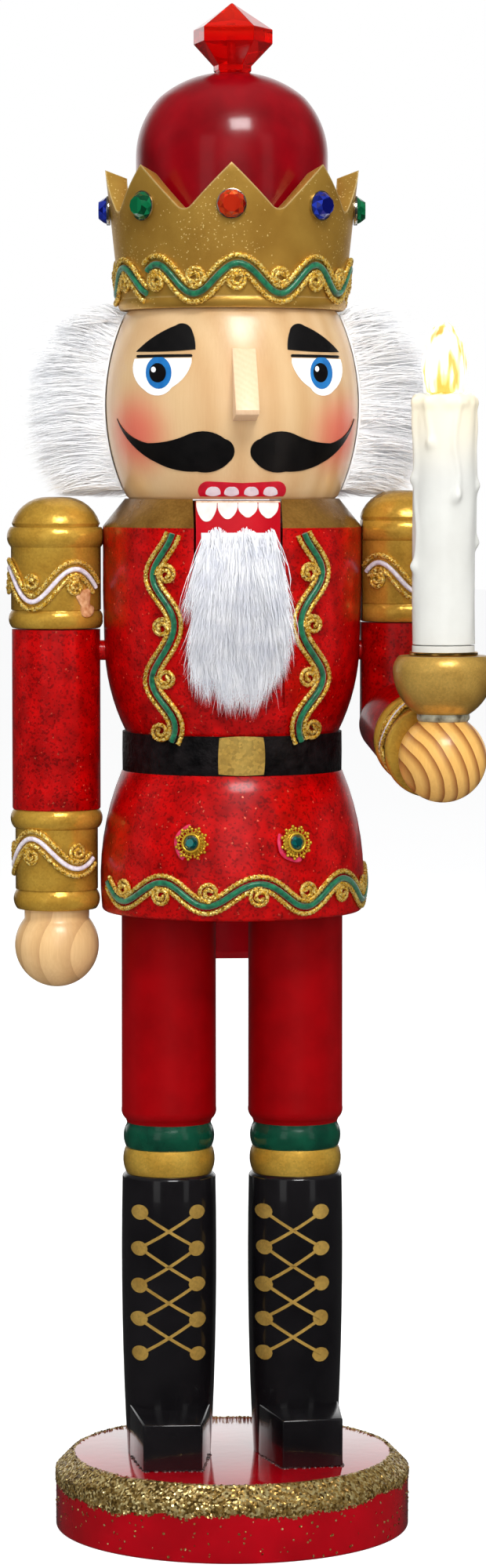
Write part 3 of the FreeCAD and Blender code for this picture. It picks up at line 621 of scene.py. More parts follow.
def glue_line(name, start, end, size, seed):
    """Row of flattened beads of hot glue along an edge, melted into each other."""
    chance = random.Random(seed)
    points, faces = [], []
    count = 14
    for k in range(count):
        share = (k + chance.uniform(0.1, 0.9)) / count
        spot = Vector(start).lerp(Vector(end), share)
        reach = size * MM * chance.uniform(0.5, 1.2)
        first = len(points)
        for ring, (flat, rise) in enumerate(((1.0, 0.0), (0.8, 0.45), (0.4, 0.75))):
            for j in range(10):
                a = j * math.pi / 5
                points.append(spot + Vector((math.cos(a) * flat, math.sin(a) * flat, rise * 0.8)) * reach)
        points.append(spot + Vector((0, 0, 0.66 * reach)))
        for ring in range(2):
            for j in range(10):
                a, b = first + ring * 10 + j, first + ring * 10 + (j + 1) % 10
                faces.append((a, b, b + 10, a + 10))
        faces += [(first + 20 + j, first + 20 + (j + 1) % 10, first + 30) for j in range(10)]
    return mesh_piece(name, points, faces)


dark_glue = clouded("dark_glue", tone(92, 54, 50), tone(22, 12, 14), 0.0015, 3.0, Roughness=0.18,
                    Coat_Weight=0.5)
for word, x, toe_y, toe_height, yaw in (("left", -LEG_X, -24.5, 11.7, 0.0),
                                        ("right", LEG_X, -21.9, 12.1, 8.0)):
    block, corners = foot_block(word + "_foot_block", x, toe_y, toe_height, yaw)
    fitted(block, "figure", "black_lacquer", word + "_foot")
    for number, (a, b) in enumerate(((0, 1), (1, 2), (5, 0))):
        bead = glue_line("%s_foot_glue_%d" % (word, number), corners[a], corners[b], 0.55, 40 + number)
        surfaced(bead, dark_glue, 60)
        fitted(bead, "figure", "black_lacquer")

# ---- Coat skirt and belt ----
# The lower body block, turned with a flared hem and a recessed neck. The coat is sprayed with red
# lacquer full of fine glitter. The neck is painted black as the belt, with a gold buckle in front.

BELT_LOW, BELT_R, TORSO_LOW = 191.5, 27.4, 200.8
SKIRT = [(31.6, COAT_BOTTOM), (32.3, 156.2, 32.6, 156.9), (32.0, 175.6, 27.6, BELT_LOW - 0.6)]


def coat_glitter():
    """Bright red lacquer with glitter in it: dark flecks, a few sparks, and a grainy gloss."""
    material, tree, sockets = coated("coat_glitter", Roughness=0.3, Specular_IOR_Level=0.2, Coat_Weight=0.2,
                                     Coat_Roughness=0.14)
    cloudy = placed(tree, MOTTLE, Light=tone(194, 0, 1), Dark=tone(134, 0, 0), Size=0.004, Contrast=2.2)
    flakes = placed(tree, FLAKES, Size=0.0005, Tilt=0.55)
    fine = placed(tree, FLAKES, Size=0.0004, Tilt=0.5)
    specks = ramped(tree, flakes["Shade"], [(0.16, (0.25, 0.22, 0.25, 1.0)), (0.3, (1.0, 1.0, 1.0, 1.0))])
    flecked = mixed(tree, 0.6, cloudy["Color"], specks, "MULTIPLY")
    spark = worked(tree, "GREATER_THAN", fine["Shade"], 0.995)
    tree.links.new(mixed(tree, spark, flecked, tone(255, 128, 96)), sockets["Base Color"])
    tree.links.new(worked(tree, "MULTIPLY", spark, 0.8), sockets["Metallic"])
    bump = node(tree, "Bump", sockets={"Strength": 0.5, "Distance": 0.00012, "Height": fine["Other shade"]})
    tree.links.new(bump.outputs["Normal"], sockets["Normal"])
    return material


def belt_black():
    """Thick matt black brushed over the glitter, rough to the touch."""
    material, tree, sockets = coated("belt_black", Specular_IOR_Level=0.25)
    rough = placed(tree, PEEL, Size=0.0009)["Height"]
    cloudy = placed(tree, MOTTLE, Light=tone(24, 20, 21), Dark=tone(5, 4, 5), Size=0.003, Contrast=3.0)
    tree.links.new(cloudy["Color"], sockets["Base Color"])
    tree.links.new(carried(tree, rough, 0.0, 1.0, 0.3, 0.62), sockets["Roughness"])
    bumped(tree, sockets, rough, 0.0004, 0.8)
    return material


COAT_RED = coat_glitter()
skirt = turned("coat_skirt_flared", SKIRT + [(27.4, BELT_LOW - 0.4), (0, BELT_LOW - 0.4)], sides=160)
surfaced(skirt, COAT_RED)
fitted(skirt, "figure", "glitter_coat", "coat_skirt")
belt = turned("belt_band", [(27.2, BELT_LOW - 0.8), (BELT_R, BELT_LOW - 0.3), (BELT_R + 0.05, 196.0),
                            (BELT_R, TORSO_LOW), (0, TORSO_LOW)], sides=160, steps=4)
surfaced(belt, belt_black())
fitted(belt, "figure", "black_lacquer", "coat_skirt")
buckle_shape = [(-4.6, 191.6), (0.5, 191.3, 6.4, 191.5), (6.7, 196.0, 6.3, 200.6), (0.8, 200.9, -4.4, 200.5),
                (-4.7, 196.0, -4.6, 191.6)]
buckle = painted("belt_buckle", [buckle_shape], lambda height: BELT_R, 0.22)
surfaced(buckle, gold_paint("buckle_gold", tone(240, 202, 108), tone(192, 146, 60), 0.36, 0.0007, 0.35))
fitted(buckle, "figure", "gold_paint")

# ---- Coat chest and collar ----
# The upper body block, sprayed with the same glitter lacquer, with a sloping gold collar. A slot is
# sawn through it from front to back for the jaw lever, with a shallow flat below it for the beard.

COLLAR_LOW, COLLAR_TOP, COLLAR_R, CHEST_R = 251.7, 258.7, 26.7, 32.25
CHEST = [(26.6, TORSO_LOW), (30.1, 210.0, 31.9, 223.0), (CHEST_R, 236.0), (CHEST_R, COLLAR_LOW)]
SLOT_HALF, SLOT_FLOOR, RECESS_HALF, RECESS_Y = 10.8, 217.4, 11.4, -26.9


def cutter(low, high):
    """A box between two corners, to cut another piece with."""
    deselected()
    bpy.ops.mesh.primitive_cube_add(size=1, location=[(a + b) / 2 * MM for a, b in zip(low, high)])
    box = bpy.context.object
    box.scale = [(b - a) * MM for a, b in zip(low, high)]
    moved_in()
    return box


def cut_by(piece, *tools):
    """Cut tools out of a piece, and throw the tools away."""
    for tool in tools:
        modified(piece, "BOOLEAN", operation="DIFFERENCE", object=tool, solver="EXACT")
        bpy.data.objects.remove(tool)


def slotted(piece, recessed):
    """Saw the jaw's slot, and the flat recess below it if asked."""
    tools = [cutter((-SLOT_HALF, -80, SLOT_FLOOR), (SLOT_HALF, 80, COLLAR_TOP + 5))]
    if recessed:
        tools.append(cutter((-RECESS_HALF, -80, TORSO_LOW - 1), (RECESS_HALF, RECESS_Y, SLOT_FLOOR)))
    cut_by(piece, *tools)


chest = turned("coat_chest", CHEST + [(0, COLLAR_LOW)], sides=160)
slotted(chest, True)
surfaced(chest, COAT_RED)
fitted(chest, "figure", "glitter_coat", "coat_torso")
COLLAR_GOLD = gold_paint("collar_gold", tone(192, 142, 66), tone(136, 92, 34), 0.24, 0.0005, 0.22)
collar = turned("gold_collar", [(CHEST_R, COLLAR_LOW - 0.05), (CHEST_R - 0.1, COLLAR_LOW + 0.3),
                                (COLLAR_R, COLLAR_TOP), (0, COLLAR_TOP)], sides=160)
slotted(collar, False)
surfaced(collar, COLLAR_GOLD)
fitted(collar, "figure", "gold_paint", "coat_torso")

# ---- Jaw and lever ----
# One plank on a steel pin: the jaw in front, and the tail that works it behind. It is painted glossy
# red, with four white teeth on the front and a cream line of bare primer along the top edge.

JAW_HALF, JAW_FRONT, JAW_TOP = 10.3, -30.5, 258.3
FLAT_R = 1000.0  # a curve so wide that paint laid on it is flat


def plank(name, outline, low_x, high_x, steps=6):
    """Board sawn to an outline of Y and height in millimetres, between two places along X."""
    ring = rings_of(outline, steps)
    board = mesh_piece(name, [(low_x * MM, y * MM, z * MM) for y, z in ring], [range(len(ring))])
    opened(board)
    pulled(high_x - low_x, 0, 0)
    closed()
    return board


LEVER_SLOPE_Z = JAW_TOP - 29.0 * math.tan(math.radians(16.0))
jaw = plank("jaw_and_lever", [
    (JAW_FRONT, 226.5), (JAW_FRONT, JAW_TOP), (1.0, JAW_TOP), (30.0, LEVER_SLOPE_Z),
    (39.4, 245.2, 43.0, 236.0), (43.0, 141.5), (41.0, 139.5), (37.0, 139.5), (35.0, 141.5), (35.0, 220.5),
    (33.2, 224.7, 29.0, 226.5)], -JAW_HALF, JAW_HALF)
eased(jaw, 0.3, 2, 25)
JAW_RED = crimson_lacquer("jaw_red", tone(196, 8, 26), tone(160, 2, 18), 0.25, 0.003, 0.3)
surfaced(jaw, JAW_RED, 30)
fitted(jaw, "jaw", "jaw_paint", "jaw_lever")


def flat_paint(name, shapes, front_y, proud, wall=0.22):
    """Paint on the flat front of the jaw."""
    return painted(name, shapes, lambda height: FLAT_R, proud, (0.0, FLAT_R + front_y), step=1.5, wall=wall)


def tooth_white(name, light, dark):
    """White enamel, dabbed on."""
    return clouded(name, light, dark, 0.002, 1.5, 0.0012, Roughness=0.3, Coat_Weight=0.4)


LOWER_WHITE = tooth_white("lower_tooth_white", tone(240, 237, 232), tone(214, 206, 200))
lower_teeth = []
for middle, half, tip in ((-7.7, 2.5, 253.4), (-2.6, 2.4, 254.0), (2.3, 2.3, 254.4), (7.3, 2.4, 254.2)):
    lower_teeth.append([(middle - half, 257.9), (middle - half * 0.9, 255.9, middle - half * 0.45, tip + 0.4),
                        (middle, tip - 0.1, middle + half * 0.45, tip + 0.4),
                        (middle + half * 0.9, 255.9, middle + half, 257.9)])
teeth = flat_paint("lower_teeth", lower_teeth, JAW_FRONT, 0.2, 0.4)
surfaced(teeth, LOWER_WHITE)
fitted(teeth, "jaw", "white_fur")
bare_primer = clouded("bare_primer", tone(246, 226, 196), tone(196, 150, 120), 0.0012, Roughness=0.6)
edge = flat_paint("jaw_edge_line", [[(-10.2, 257.75), (10.2, 258.0), (10.2, 258.28), (-10.2, 258.28)]],
                  JAW_FRONT, 0.16)
surfaced(edge, bare_primer)
fitted(edge, "jaw", "jaw_paint")

# ---- Beard ----
# A strip of white long-pile fur glued across the jaw below the teeth. It hangs in front of the coat
# in soft, slightly clumped locks, and its tips stay against the coat when the jaw opens.


def fur_white(name, light, dark):
    """White acrylic fibre, mottled with bluish grey as painted shade among the fibres."""
    return clouded(name, light, dark, 0.004, Roughness=0.55, Sheen_Weight=0.3)


def strands(name, roots, tips, sags, width, seed):
    """Fur fibres as thin three-sided spikes. sags pushes each fibre's middle to the side."""
    chance = np.random.default_rng(seed)
    roots, tips, sags = (np.asarray(array, dtype=float) for array in (roots, tips, sags))
    count, rings = len(roots), 4
    along = tips - roots
    along /= np.linalg.norm(along, axis=1, keepdims=True)
    helper = np.where(np.abs(along[:, 2:3]) < 0.9, [[0.0, 0.0, 1.0]], [[1.0, 0.0, 0.0]])
    side = np.cross(along, helper)
    side /= np.linalg.norm(side, axis=1, keepdims=True)
    other = np.cross(along, side)
    spin = chance.uniform(0, 2 * math.pi, (count, 1))
    thick = width * chance.uniform(0.7, 1.3, (count, 1)) / 2
    points = np.empty((count, rings * 3 + 1, 3))
    for ring in range(rings):
        share = ring / rings
        centre = roots + (tips - roots) * share + sags * (4 * share * (1 - share))
        for corner in range(3):
            angle = spin + corner * 2 * math.pi / 3
            out = side * np.cos(angle) + other * np.sin(angle)
            points[:, ring * 3 + corner] = centre + out * thick * (1.0 - 0.75 * share)
    points[:, -1] = tips
    pattern = []
    for ring in range(rings - 1):
        for corner in range(3):
            a, b = ring * 3 + corner, ring * 3 + (corner + 1) % 3
            pattern.append((a, b, b + 3, a + 3))
    faces = []
    for k in range(count):
        first = k * (rings * 3 + 1)
        faces += [tuple(first + v for v in quad) for quad in pattern]
        last = first + (rings - 1) * 3
        faces += [(last + corner, last + (corner + 1) % 3, first + rings * 3) for corner in range(3)]
    return mesh_piece(name, points.reshape(-1, 3) * MM, faces)


def clumped(tips, roots, clumps, pull, chance):
    """Draw tips towards those of a few leading fibres, as locks of fur gather."""
    leaders = chance.choice(len(tips), clumps, replace=False)
    nearest = np.empty(len(tips), dtype=int)
    for k in range(0, len(tips), 500):
        gap = np.linalg.norm(roots[k:k + 500, None, :] - roots[None, leaders, :], axis=2)
        nearest[k:k + 500] = leaders[np.argmin(gap, axis=1)]
    amount = pull * chance.uniform(0.5, 1.0, (len(tips), 1))
    return tips * (1 - amount) + tips[nearest] * amount


BEARD_WHITE = fur_white("beard_white", tone(243, 243, 245), tone(216, 218, 226))
BEARD_TOP, BEARD_STRIP, BEARD_TIP, BEARD_REACH, COAT_CLEAR = 251.3, 25.0, 203.5, 15.0, -31.0


def beard_fur():
    """Fibres from a strip on the jaw's front, in rows from the teeth down."""
    chance = np.random.default_rng(5)
    count = 9300
    down = chance.random(count) ** 0.85
    root_x = chance.uniform(-1, 1, count) * (8.7 + 1.6 * down)
    root_z = BEARD_TOP - BEARD_STRIP * down + 0.8 * np.sin(root_x * 0.9)
    pile = 1.0 + 3.6 * np.sin(np.pi * np.minimum(down + 0.15, 1.0))
    root_y = JAW_FRONT - 0.4 - chance.random(count) * pile
    length = np.clip(chance.normal(17.0, 4.5, count), 7, 27)
    low = root_z - length
    narrow = np.clip((223.0 - low) / 19.0, 0, 1)
    splay = 1.0 + 0.34 * np.sin(np.pi * np.clip((252.0 - low) / 46.0, 0, 1))
    loose = np.where(chance.random(count) < 0.35, 3.0, 1.4)
    tip_x = root_x * splay * (1.0 - 0.5 * narrow ** 1.2) + chance.normal(0, 1.0, count) * loose
    tip_x += 1.3 * np.sin(root_x * 0.8 + root_z * 0.3) + 0.8 * np.sin(root_x * 2.1 - root_z * 0.23)
    tip_z = np.maximum(low, BEARD_TIP + 2.5 * np.abs(np.sin(tip_x * 0.8)) + chance.normal(0, 0.8, count))
    tip_y = root_y - 0.3 - chance.gamma(2.0, 0.9, count) * (0.4 + 0.6 * (1 - narrow))
    tip_y = np.clip(tip_y, COAT_CLEAR - 10.0, COAT_CLEAR)
    stray = chance.random(count) < 0.09
    tip_x = tip_x + stray * chance.normal(0, 4.0, count)
    roots = np.stack([root_x, root_y, root_z], axis=1)
    tips = np.stack([np.clip(tip_x, -BEARD_REACH, BEARD_REACH), tip_y, tip_z], axis=1)
    tips = clumped(tips, roots, 260, 0.72, chance)
    sags = np.stack([chance.normal(0, 0.8, count), -np.abs(chance.normal(0.9, 0.5, count)),
                     np.zeros(count)], axis=1)
    return strands("beard_fur", roots, tips, sags, 0.24, 6)


beard = beard_fur()
surfaced(beard, BEARD_WHITE, 60)
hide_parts("beard")
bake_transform(beard)
backing = cutter((-9.0, -33.6, 226.0), (9.0, -30.3, 250.6))
backing.name = "beard_backing"
opened(backing)
bpy.ops.mesh.subdivide(number_cuts=5)
bpy.ops.object.mode_set(mode="OBJECT")
for vertex in backing.data.vertices:
    depth = max(0.0, math.cos(vertex.co.x / MM / 9.2 * math.pi / 2))
    if vertex.co.y < COAT_CLEAR * MM:
        vertex.co.y = (COAT_CLEAR - 2.6 * depth) * MM
surfaced(backing, BEARD_WHITE, 60)
fitted(backing, "jaw", "white_fur", "beard")

# ---- Head ----
# A turned barrel of pale beech, varnished, with airbrushed cheeks. The brows, eyes, moustache and
# mouth are printed and brushed on in thick enamel. It stands on two dowels above the slotted collar.

HEAD = [(25.6, 258.7), (26.4, 259.5), (31.3, 279.5, 26.4, 304.4), (25.6, 305.2), (0, 305.2)]
FACE_TURN, MOUTH_TURN = 2.0, 2.7  # degrees that the eyes, and the nose and mouth, stand off the front


def grain_effect():
    """Wood: a stretched ring pattern and fine pores along Z."""
    group, given, made = effect("Wood grain", {"Light": (1.0, 1.0, 1.0, 1.0), "Dark": (0.5, 0.3, 0.1, 1.0),
                                               "Ring gap": 0.004, "Lean": 0.3, "Pores": 0.2, "Contrast": 1.0},
                                {"Color": "Color", "Height": "Float"})
    place = place_in(group)
    tilt = node(group, "CombineXYZ", sockets={0: 1.0, 1: 1.0, 2: given["Lean"]}).outputs[0]
    stretched = vector_worked(group, "MULTIPLY", place, tilt)
    scale = worked(group, "DIVIDE", 0.32, given["Ring gap"])
    rings = node(group, "TexWave", {"wave_type": "BANDS", "bands_direction": "DIAGONAL"},
                 {"Vector": stretched, "Scale": scale, "Distortion": 5.0, "Detail": 2.0,
                  "Detail Scale": 0.6}).outputs["Fac"]
    thin = vector_worked(group, "MULTIPLY", place, (1.0, 1.0, 0.06))
    pores = node(group, "TexNoise", sockets={"Vector": thin, "Scale": 1800.0, "Detail": 2.0}).outputs["Fac"]
    fleck = worked(group, "MULTIPLY", pores, given["Pores"])
    ring = worked(group, "MULTIPLY", rings, given["Contrast"])
    both = node(group, "Math", {"operation": "ADD", "use_clamp": True}, {0: ring, 1: fleck}).outputs[0]
    group.links.new(mixed(group, both, given["Light"], given["Dark"]), made["Color"])
    group.links.new(pores, made["Height"])
    return group


GRAIN = grain_effect()


def blush_mask(tree, centre, reach):
    """Mask that is 1 in the middle of a cheek and fades out over its reach."""
    gap = vector_worked(tree, "SUBTRACT", place_in(tree), centre)
    flat = vector_worked(tree, "MULTIPLY", gap, (1.0, 0.8, 1.0))
    length = node(tree, "VectorMath", {"operation": "LENGTH"}, {0: flat}).outputs["Value"]
    return carried(tree, length, 0.0, reach, 1.0, 0.0, "SMOOTHERSTEP")


def face_wood():
    """Varnished beech with airbrushed cheeks, a little browner in soft patches."""
    material, tree, sockets = coated("face_wood", Roughness=0.36, Coat_Weight=0.45, Coat_Roughness=0.22)
    grain = placed(tree, GRAIN, Light=tone(216, 184, 140), Dark=tone(194, 150, 100), Ring_gap=0.0045,
                   Lean=0.12, Pores=0.25, Contrast=0.4)
    stain = placed(tree, MOTTLE, Light=(1.0, 1.0, 1.0, 1.0), Dark=(0.9, 0.8, 0.66, 1.0), Size=0.014,
                   Contrast=1.5)
    colour = mixed(tree, 0.6, grain["Color"], stain["Color"], "MULTIPLY")
    for side in (-1, 1):
        angle = math.radians(side * 56 + FACE_TURN)
        centre = (0.0305 * math.sin(angle), -0.0305 * math.cos(angle), 0.2745)
        mask = worked(tree, "MULTIPLY", blush_mask(tree, centre, 0.0155), 0.85)
        colour = mixed(tree, mask, colour, tone(216, 92, 76))
    tree.links.new(colour, sockets["Base Color"])
    bumped(tree, sockets, grain["Height"], 0.00012, 0.35)
    return material


head = turned("head_barrel", HEAD, sides=160, steps=24)
surfaced(head, face_wood())
fitted(head, "figure", "face_wood", "head")
head_skin = skin(HEAD[:-1])


def enamel(name, light, dark, roughness=0.32, coat=0.35):
    """Thick opaque enamel, brushed on."""
    return clouded(name, light, dark, 0.003, ripple=0.0011, depth=0.00008, Roughness=roughness,
                   Coat_Weight=coat, Coat_Roughness=0.1)


FACE_BLACK = enamel("face_black", tone(14, 12, 12), tone(4, 3, 4), 0.4, 0.2)
EYE_WHITE = enamel("eye_white", tone(254, 254, 252), tone(244, 244, 242))
EYE_BLUE = enamel("eye_blue", tone(34, 122, 190), tone(16, 92, 160))
MOUTH_RED = enamel("mouth_red", tone(206, 16, 44), tone(168, 6, 34))
UPPER_WHITE = tooth_white("upper_tooth_white", tone(232, 230, 234), tone(204, 200, 208))


def mirrored(shape):
    """The same outline on the other side of the face."""
    return [tuple(-value if k % 2 == 0 else value for k, value in enumerate(step)) for step in shape]


BROW = [(24.8, 294.7), (20.0, 298.7, 15.6, 300.9), (13.2, 301.2, 11.8, 299.4), (11.3, 297.4, 11.2, 295.0),
        (18.0, 294.6, 24.8, 294.7)]
LID = [(12.3, 293.2), (11.95, 293.5, 12.3, 293.85), (24.4, 293.85), (24.75, 293.5, 24.4, 293.2)]
WHITE = [(12.2, 292.95), (25.2, 292.95), (25.4, 288.6, 23.1, 285.2), (20.6, 283.9, 16.9, 285.8),
         (13.6, 288.8, 12.2, 291.8)]
MOUSTACHE = [(29.2, 278.4), (26.4, 274.3, 22.4, 272.3), (17.2, 272.9, 12.8, 274.5), (8.5, 275.1, 4.3, 273.3),
             (1.9, 270.2, 3.0, 267.9), (6.0, 265.7, 10.7, 265.4), (16.0, 265.9, 20.0, 267.5),
             (25.7, 271.9, 29.2, 278.4)]
LIPS = [(-8.4, 263.0), (0.0, 262.6), (8.6, 263.0), (10.7, 261.5, 10.1, 259.35), (-10.1, 259.35),
        (-10.6, 261.5, -8.4, 263.0)]
upper_teeth = []
for middle in (-7.1, -2.7, 2.1, 6.8):
    upper_teeth.append([(middle - 1.75, 259.9), (middle - 1.35, 261.25, middle, 261.65),
                        (middle + 1.35, 261.25, middle + 1.75, 259.9),
                        (middle, 259.42, middle - 1.75, 259.9)])
for name, shapes, proud, paint in (
        ("brows", [BROW, mirrored(BROW)], 0.2, FACE_BLACK),
        ("eye_lines", [LID, mirrored(LID)], 0.24, FACE_BLACK),
        ("eye_whites", [WHITE, mirrored(WHITE)], 0.14, EYE_WHITE),
        ("irises", [oval(19.8, 289.45, 2.95, 3.95), oval(-19.8, 289.45, 2.95, 3.95)], 0.22, EYE_BLUE),
        ("pupils", [oval(19.5, 289.5, 1.9, 2.35), oval(-20.0, 289.4, 1.9, 2.35)], 0.3, FACE_BLACK),
        ("eye_lights", [oval(18.5, 290.4, 0.52, 0.68), oval(-20.9, 290.2, 0.52, 0.68)], 0.38, EYE_WHITE),
        ("moustache", [MOUSTACHE, mirrored(MOUSTACHE)], 0.25, FACE_BLACK),
        ("lips", [LIPS], 0.16, MOUTH_RED),
        ("upper_teeth", upper_teeth, 0.3, UPPER_WHITE)):
    turn = MOUTH_TURN if name in ("lips", "upper_teeth") else FACE_TURN
    paint_layer = painted(name, shapes, head_skin, proud, turn=turn, step=0.8)
    surfaced(paint_layer, paint)
    fitted(paint_layer, "figure", None)

# ---- Nose ----
# A wedge of the same beech, sawn square, glued on and varnished, with end grain on its lower face.

nose = plank("nose_wedge", [(-26.0, 295.5), (-30.2, 295.2), (-39.3, 280.2), (-38.7, 279.0), (-27.0, 277.0)],
             -2.9, 2.9)
nose.data.transform(Matrix.Rotation(math.radians(MOUTH_TURN), 4, "Z"))
eased(nose, 0.22, 2)


def plain_wood(name, light, dark, gap, lean, pores, contrast, **plain):
    """Wood with its grain as colour and relief."""
    material, tree, sockets = coated(name, **plain)
    grain = placed(tree, GRAIN, Light=light, Dark=dark, Ring_gap=gap, Lean=lean, Pores=pores,
                   Contrast=contrast)
    tree.links.new(grain["Color"], sockets["Base Color"])
    bumped(tree, sockets, grain["Height"], 0.0001, 0.5)
    return material


nose_wood = plain_wood("nose_wood", tone(238, 204, 166), tone(214, 164, 122), 0.0014, 1.2, 0.35, 0.12,
                       Roughness=0.42, Coat_Weight=0.2, Coat_Roughness=0.2)
surfaced(nose, nose_wood, 30)
fitted(nose, "figure", "face_wood", "nose")

# ---- Hair ----
# A strip of white long-pile fur glued round the back of the head from ear to ear. The pile stands
# out about 20 mm at the sides, combed back and down, with soft locks.

HAIR_BOTTOM, HAIR_TOP, HAIR_REACH = 260.3, 305.0, 53.0
HAIR_WHITE = fur_white("hair_white", tone(254, 254, 254), tone(242, 243, 246))


def hair_fur(name, start, end, count, seed):
    """One third of the wig, between two azimuths in degrees."""
    chance = np.random.default_rng(seed)
    azimuth = np.radians(chance.uniform(start, end, count))
    height = chance.uniform(HAIR_BOTTOM + 0.8, HAIR_TOP - 1.2, count)
    radius = np.array([head_skin(z) for z in height]) + 0.8
    out = np.stack([np.cos(azimuth), np.sin(azimuth), np.zeros(count)], axis=1)
    roots = out * radius[:, None]
    roots[:, 2] = height
    share = (height - HAIR_BOTTOM) / (HAIR_TOP - HAIR_BOTTOM)
    reach = 9.0 + 13.0 * np.sin(np.pi * (0.06 + 0.88 * share)) ** 0.6
    reach *= chance.uniform(0.74, 1.04, count)
    edge = np.minimum(np.degrees(azimuth), 180 - np.degrees(azimuth))
    back = np.clip(edge / 90.0, 0, 1)
    tangent = np.stack([-np.sin(azimuth), np.cos(azimuth), np.zeros(count)], axis=1)
    backwards = np.where(np.degrees(azimuth) < 90, 1.0, -1.0)
    comb = backwards * (1 - back) * chance.normal(1.0, 3.4, count)
    tips = roots + out * reach[:, None] + tangent * comb[:, None]
    tips[:, 2] += (share - 0.6) * 5.0 + chance.normal(0, 3.0, count)
    hang = HAIR_BOTTOM - 1.0 - 5.0 * back ** 2 * chance.random(count)
    tips[:, 2] = np.clip(tips[:, 2] - 3.0 * back * (1 - share), hang, HAIR_TOP + 1.8)
    tips = clumped(tips, roots, count // 40, 0.6, chance)
    flat = np.linalg.norm(tips[:, :2], axis=1)
    tips[:, :2] *= np.minimum(1.0, HAIR_REACH / flat)[:, None]
    sags = np.zeros((count, 3))
    sags[:, 2] = chance.normal(1.1, 0.9, count)
    sags[:, :2] = chance.normal(0, 0.5, (count, 2))
    fur = strands(name, roots, tips, sags, 0.26, seed + 1)
    surfaced(fur, HAIR_WHITE, 60)
    fitted(fur, "figure", "white_fur", "hair")


for number, (start, end, count) in enumerate(((-3, 50, 9300), (50, 130, 9000), (130, 183, 9300))):
    hair_fur("hair_fur_%d" % (number + 1), start, end, count, 60 + number)


def hair_backing():
    """The dense pile near the head, as one soft body under the loose fibres."""
    turns, rows = 90, 22
    points = []
    for i in range(turns + 1):
        azimuth = math.radians(-2 + 184 * i / turns)
        end_fade = min(1.0, min(i, turns - i) / 5.0) ** 0.5
        for j in range(rows + 1):
            share = j / rows
            height = HAIR_BOTTOM + 0.6 + (HAIR_TOP - HAIR_BOTTOM - 1.4) * share
            depth = 12.5 * max(0.0, math.sin(math.pi * (0.08 + 0.84 * share))) ** 0.6
            lump = 1.0 + 0.12 * math.sin(9 * azimuth + 5 * share) + 0.1 * math.sin(23 * azimuth - 11 * share)
            radius = head_skin(height) + 0.3 + depth * end_fade * lump
            points.append((radius * math.cos(azimuth) * MM, radius * math.sin(azimuth) * MM, height * MM))
    faces = [(i * (rows + 1) + j, (i + 1) * (rows + 1) + j, (i + 1) * (rows + 1) + j + 1,
              i * (rows + 1) + j + 1) for i in range(turns) for j in range(rows)]
    body = mesh_piece("hair_pile", points, faces)
    modified(body, "SOLIDIFY", thickness=0.3 * MM, offset=-1.0)
    surfaced(body, HAIR_WHITE, 60)
    fitted(body, "figure", "white_fur", "hair")


hair_backing()

# ---- Crown ----
# Turned as a cup, its rim sawn into eight points with rounded valleys, and painted in satin bronze
# gold. Its rounded edges carry a painted highlight in a paler gold.

CROWN_FLOOR, VALLEY_Z, VALLEY_R, CROWN_TURN = 315.0, 329.0, 2.5, -3.0
CROWN = [(27.6, 305.2), (28.3, 306.5, 28.0, 307.9), (29.7, 324.0, 31.5, 340.2)]
crown = turned("crown_cup", CROWN + [(26.0, 340.2), (26.0, CROWN_FLOOR), (0, CROWN_FLOOR)], sides=160,
               steps=12)
centre_z, edge = VALLEY_Z + VALLEY_R, VALLEY_R * math.sqrt(0.5)
for index in range(8):
    wedge = plank("valley_saw", [(-edge, centre_z - edge), (0, VALLEY_Z, edge, centre_z - edge),
                                 (edge + 16, centre_z - edge + 16), (-edge - 16, centre_z - edge + 16)],
                  10, 60)
    wedge.data.transform(Matrix.Rotation(math.radians(CROWN_TURN + 22.5 + index * 45), 4, "Z"))
    cut_by(crown, wedge)
eased(crown, 0.35, 2, 38)


def crown_gold():
    """Satin bronze gold, with fine brighter sparks in it and a painted highlight along its rounded edges."""
    material, tree, sockets = coated("crown_gold", Metallic=0.6, Roughness=0.4)
    cloudy = placed(tree, MOTTLE, Light=tone(212, 166, 74), Dark=tone(166, 120, 42), Size=0.012, Contrast=1.6)
    flakes = placed(tree, FLAKES, Size=0.00026, Tilt=0.12)
    patch = node(tree, "TexNoise", sockets={"Vector": place_in(tree), "Scale": 55.0, "Detail": 2.0})
    dense = carried(tree, patch.outputs["Fac"], 0.4, 0.7, 1.0, 0.955)
    spark = worked(tree, "GREATER_THAN", flakes["Shade"], dense)
    sparkling = mixed(tree, spark, cloudy["Color"], tone(248, 220, 140))
    # Painted highlight: the rounded edges are mixed towards a pale gold.
    round_edge = node(tree, "Bevel", sockets={"Radius": 0.0007}).outputs[0]
    flat = node(tree, "NewGeometry").outputs["Normal"]
    edge_bend = node(tree, "VectorMath", {"operation": "DOT_PRODUCT"}, {0: round_edge, 1: flat}).outputs["Value"]
    edge_highlight = carried(tree, edge_bend, 0.995, 0.9, 0.0, 0.8)
    tree.links.new(mixed(tree, edge_highlight, sparkling, tone(255, 232, 168)), sockets["Base Color"])
    tree.links.new(flakes["Normal"], sockets["Normal"])
    return material


surfaced(crown, crown_gold(), 30)
fitted(crown, "figure", "gold_paint", "crown")

# ---- Crown jewels ----
# Eight acrylic rhinestones, ten-sided and domed, on silvered rims, glued on below the points.

STONE_R, STONE_Z, STONE_SEAT = 3.65, 330.0, 30.2


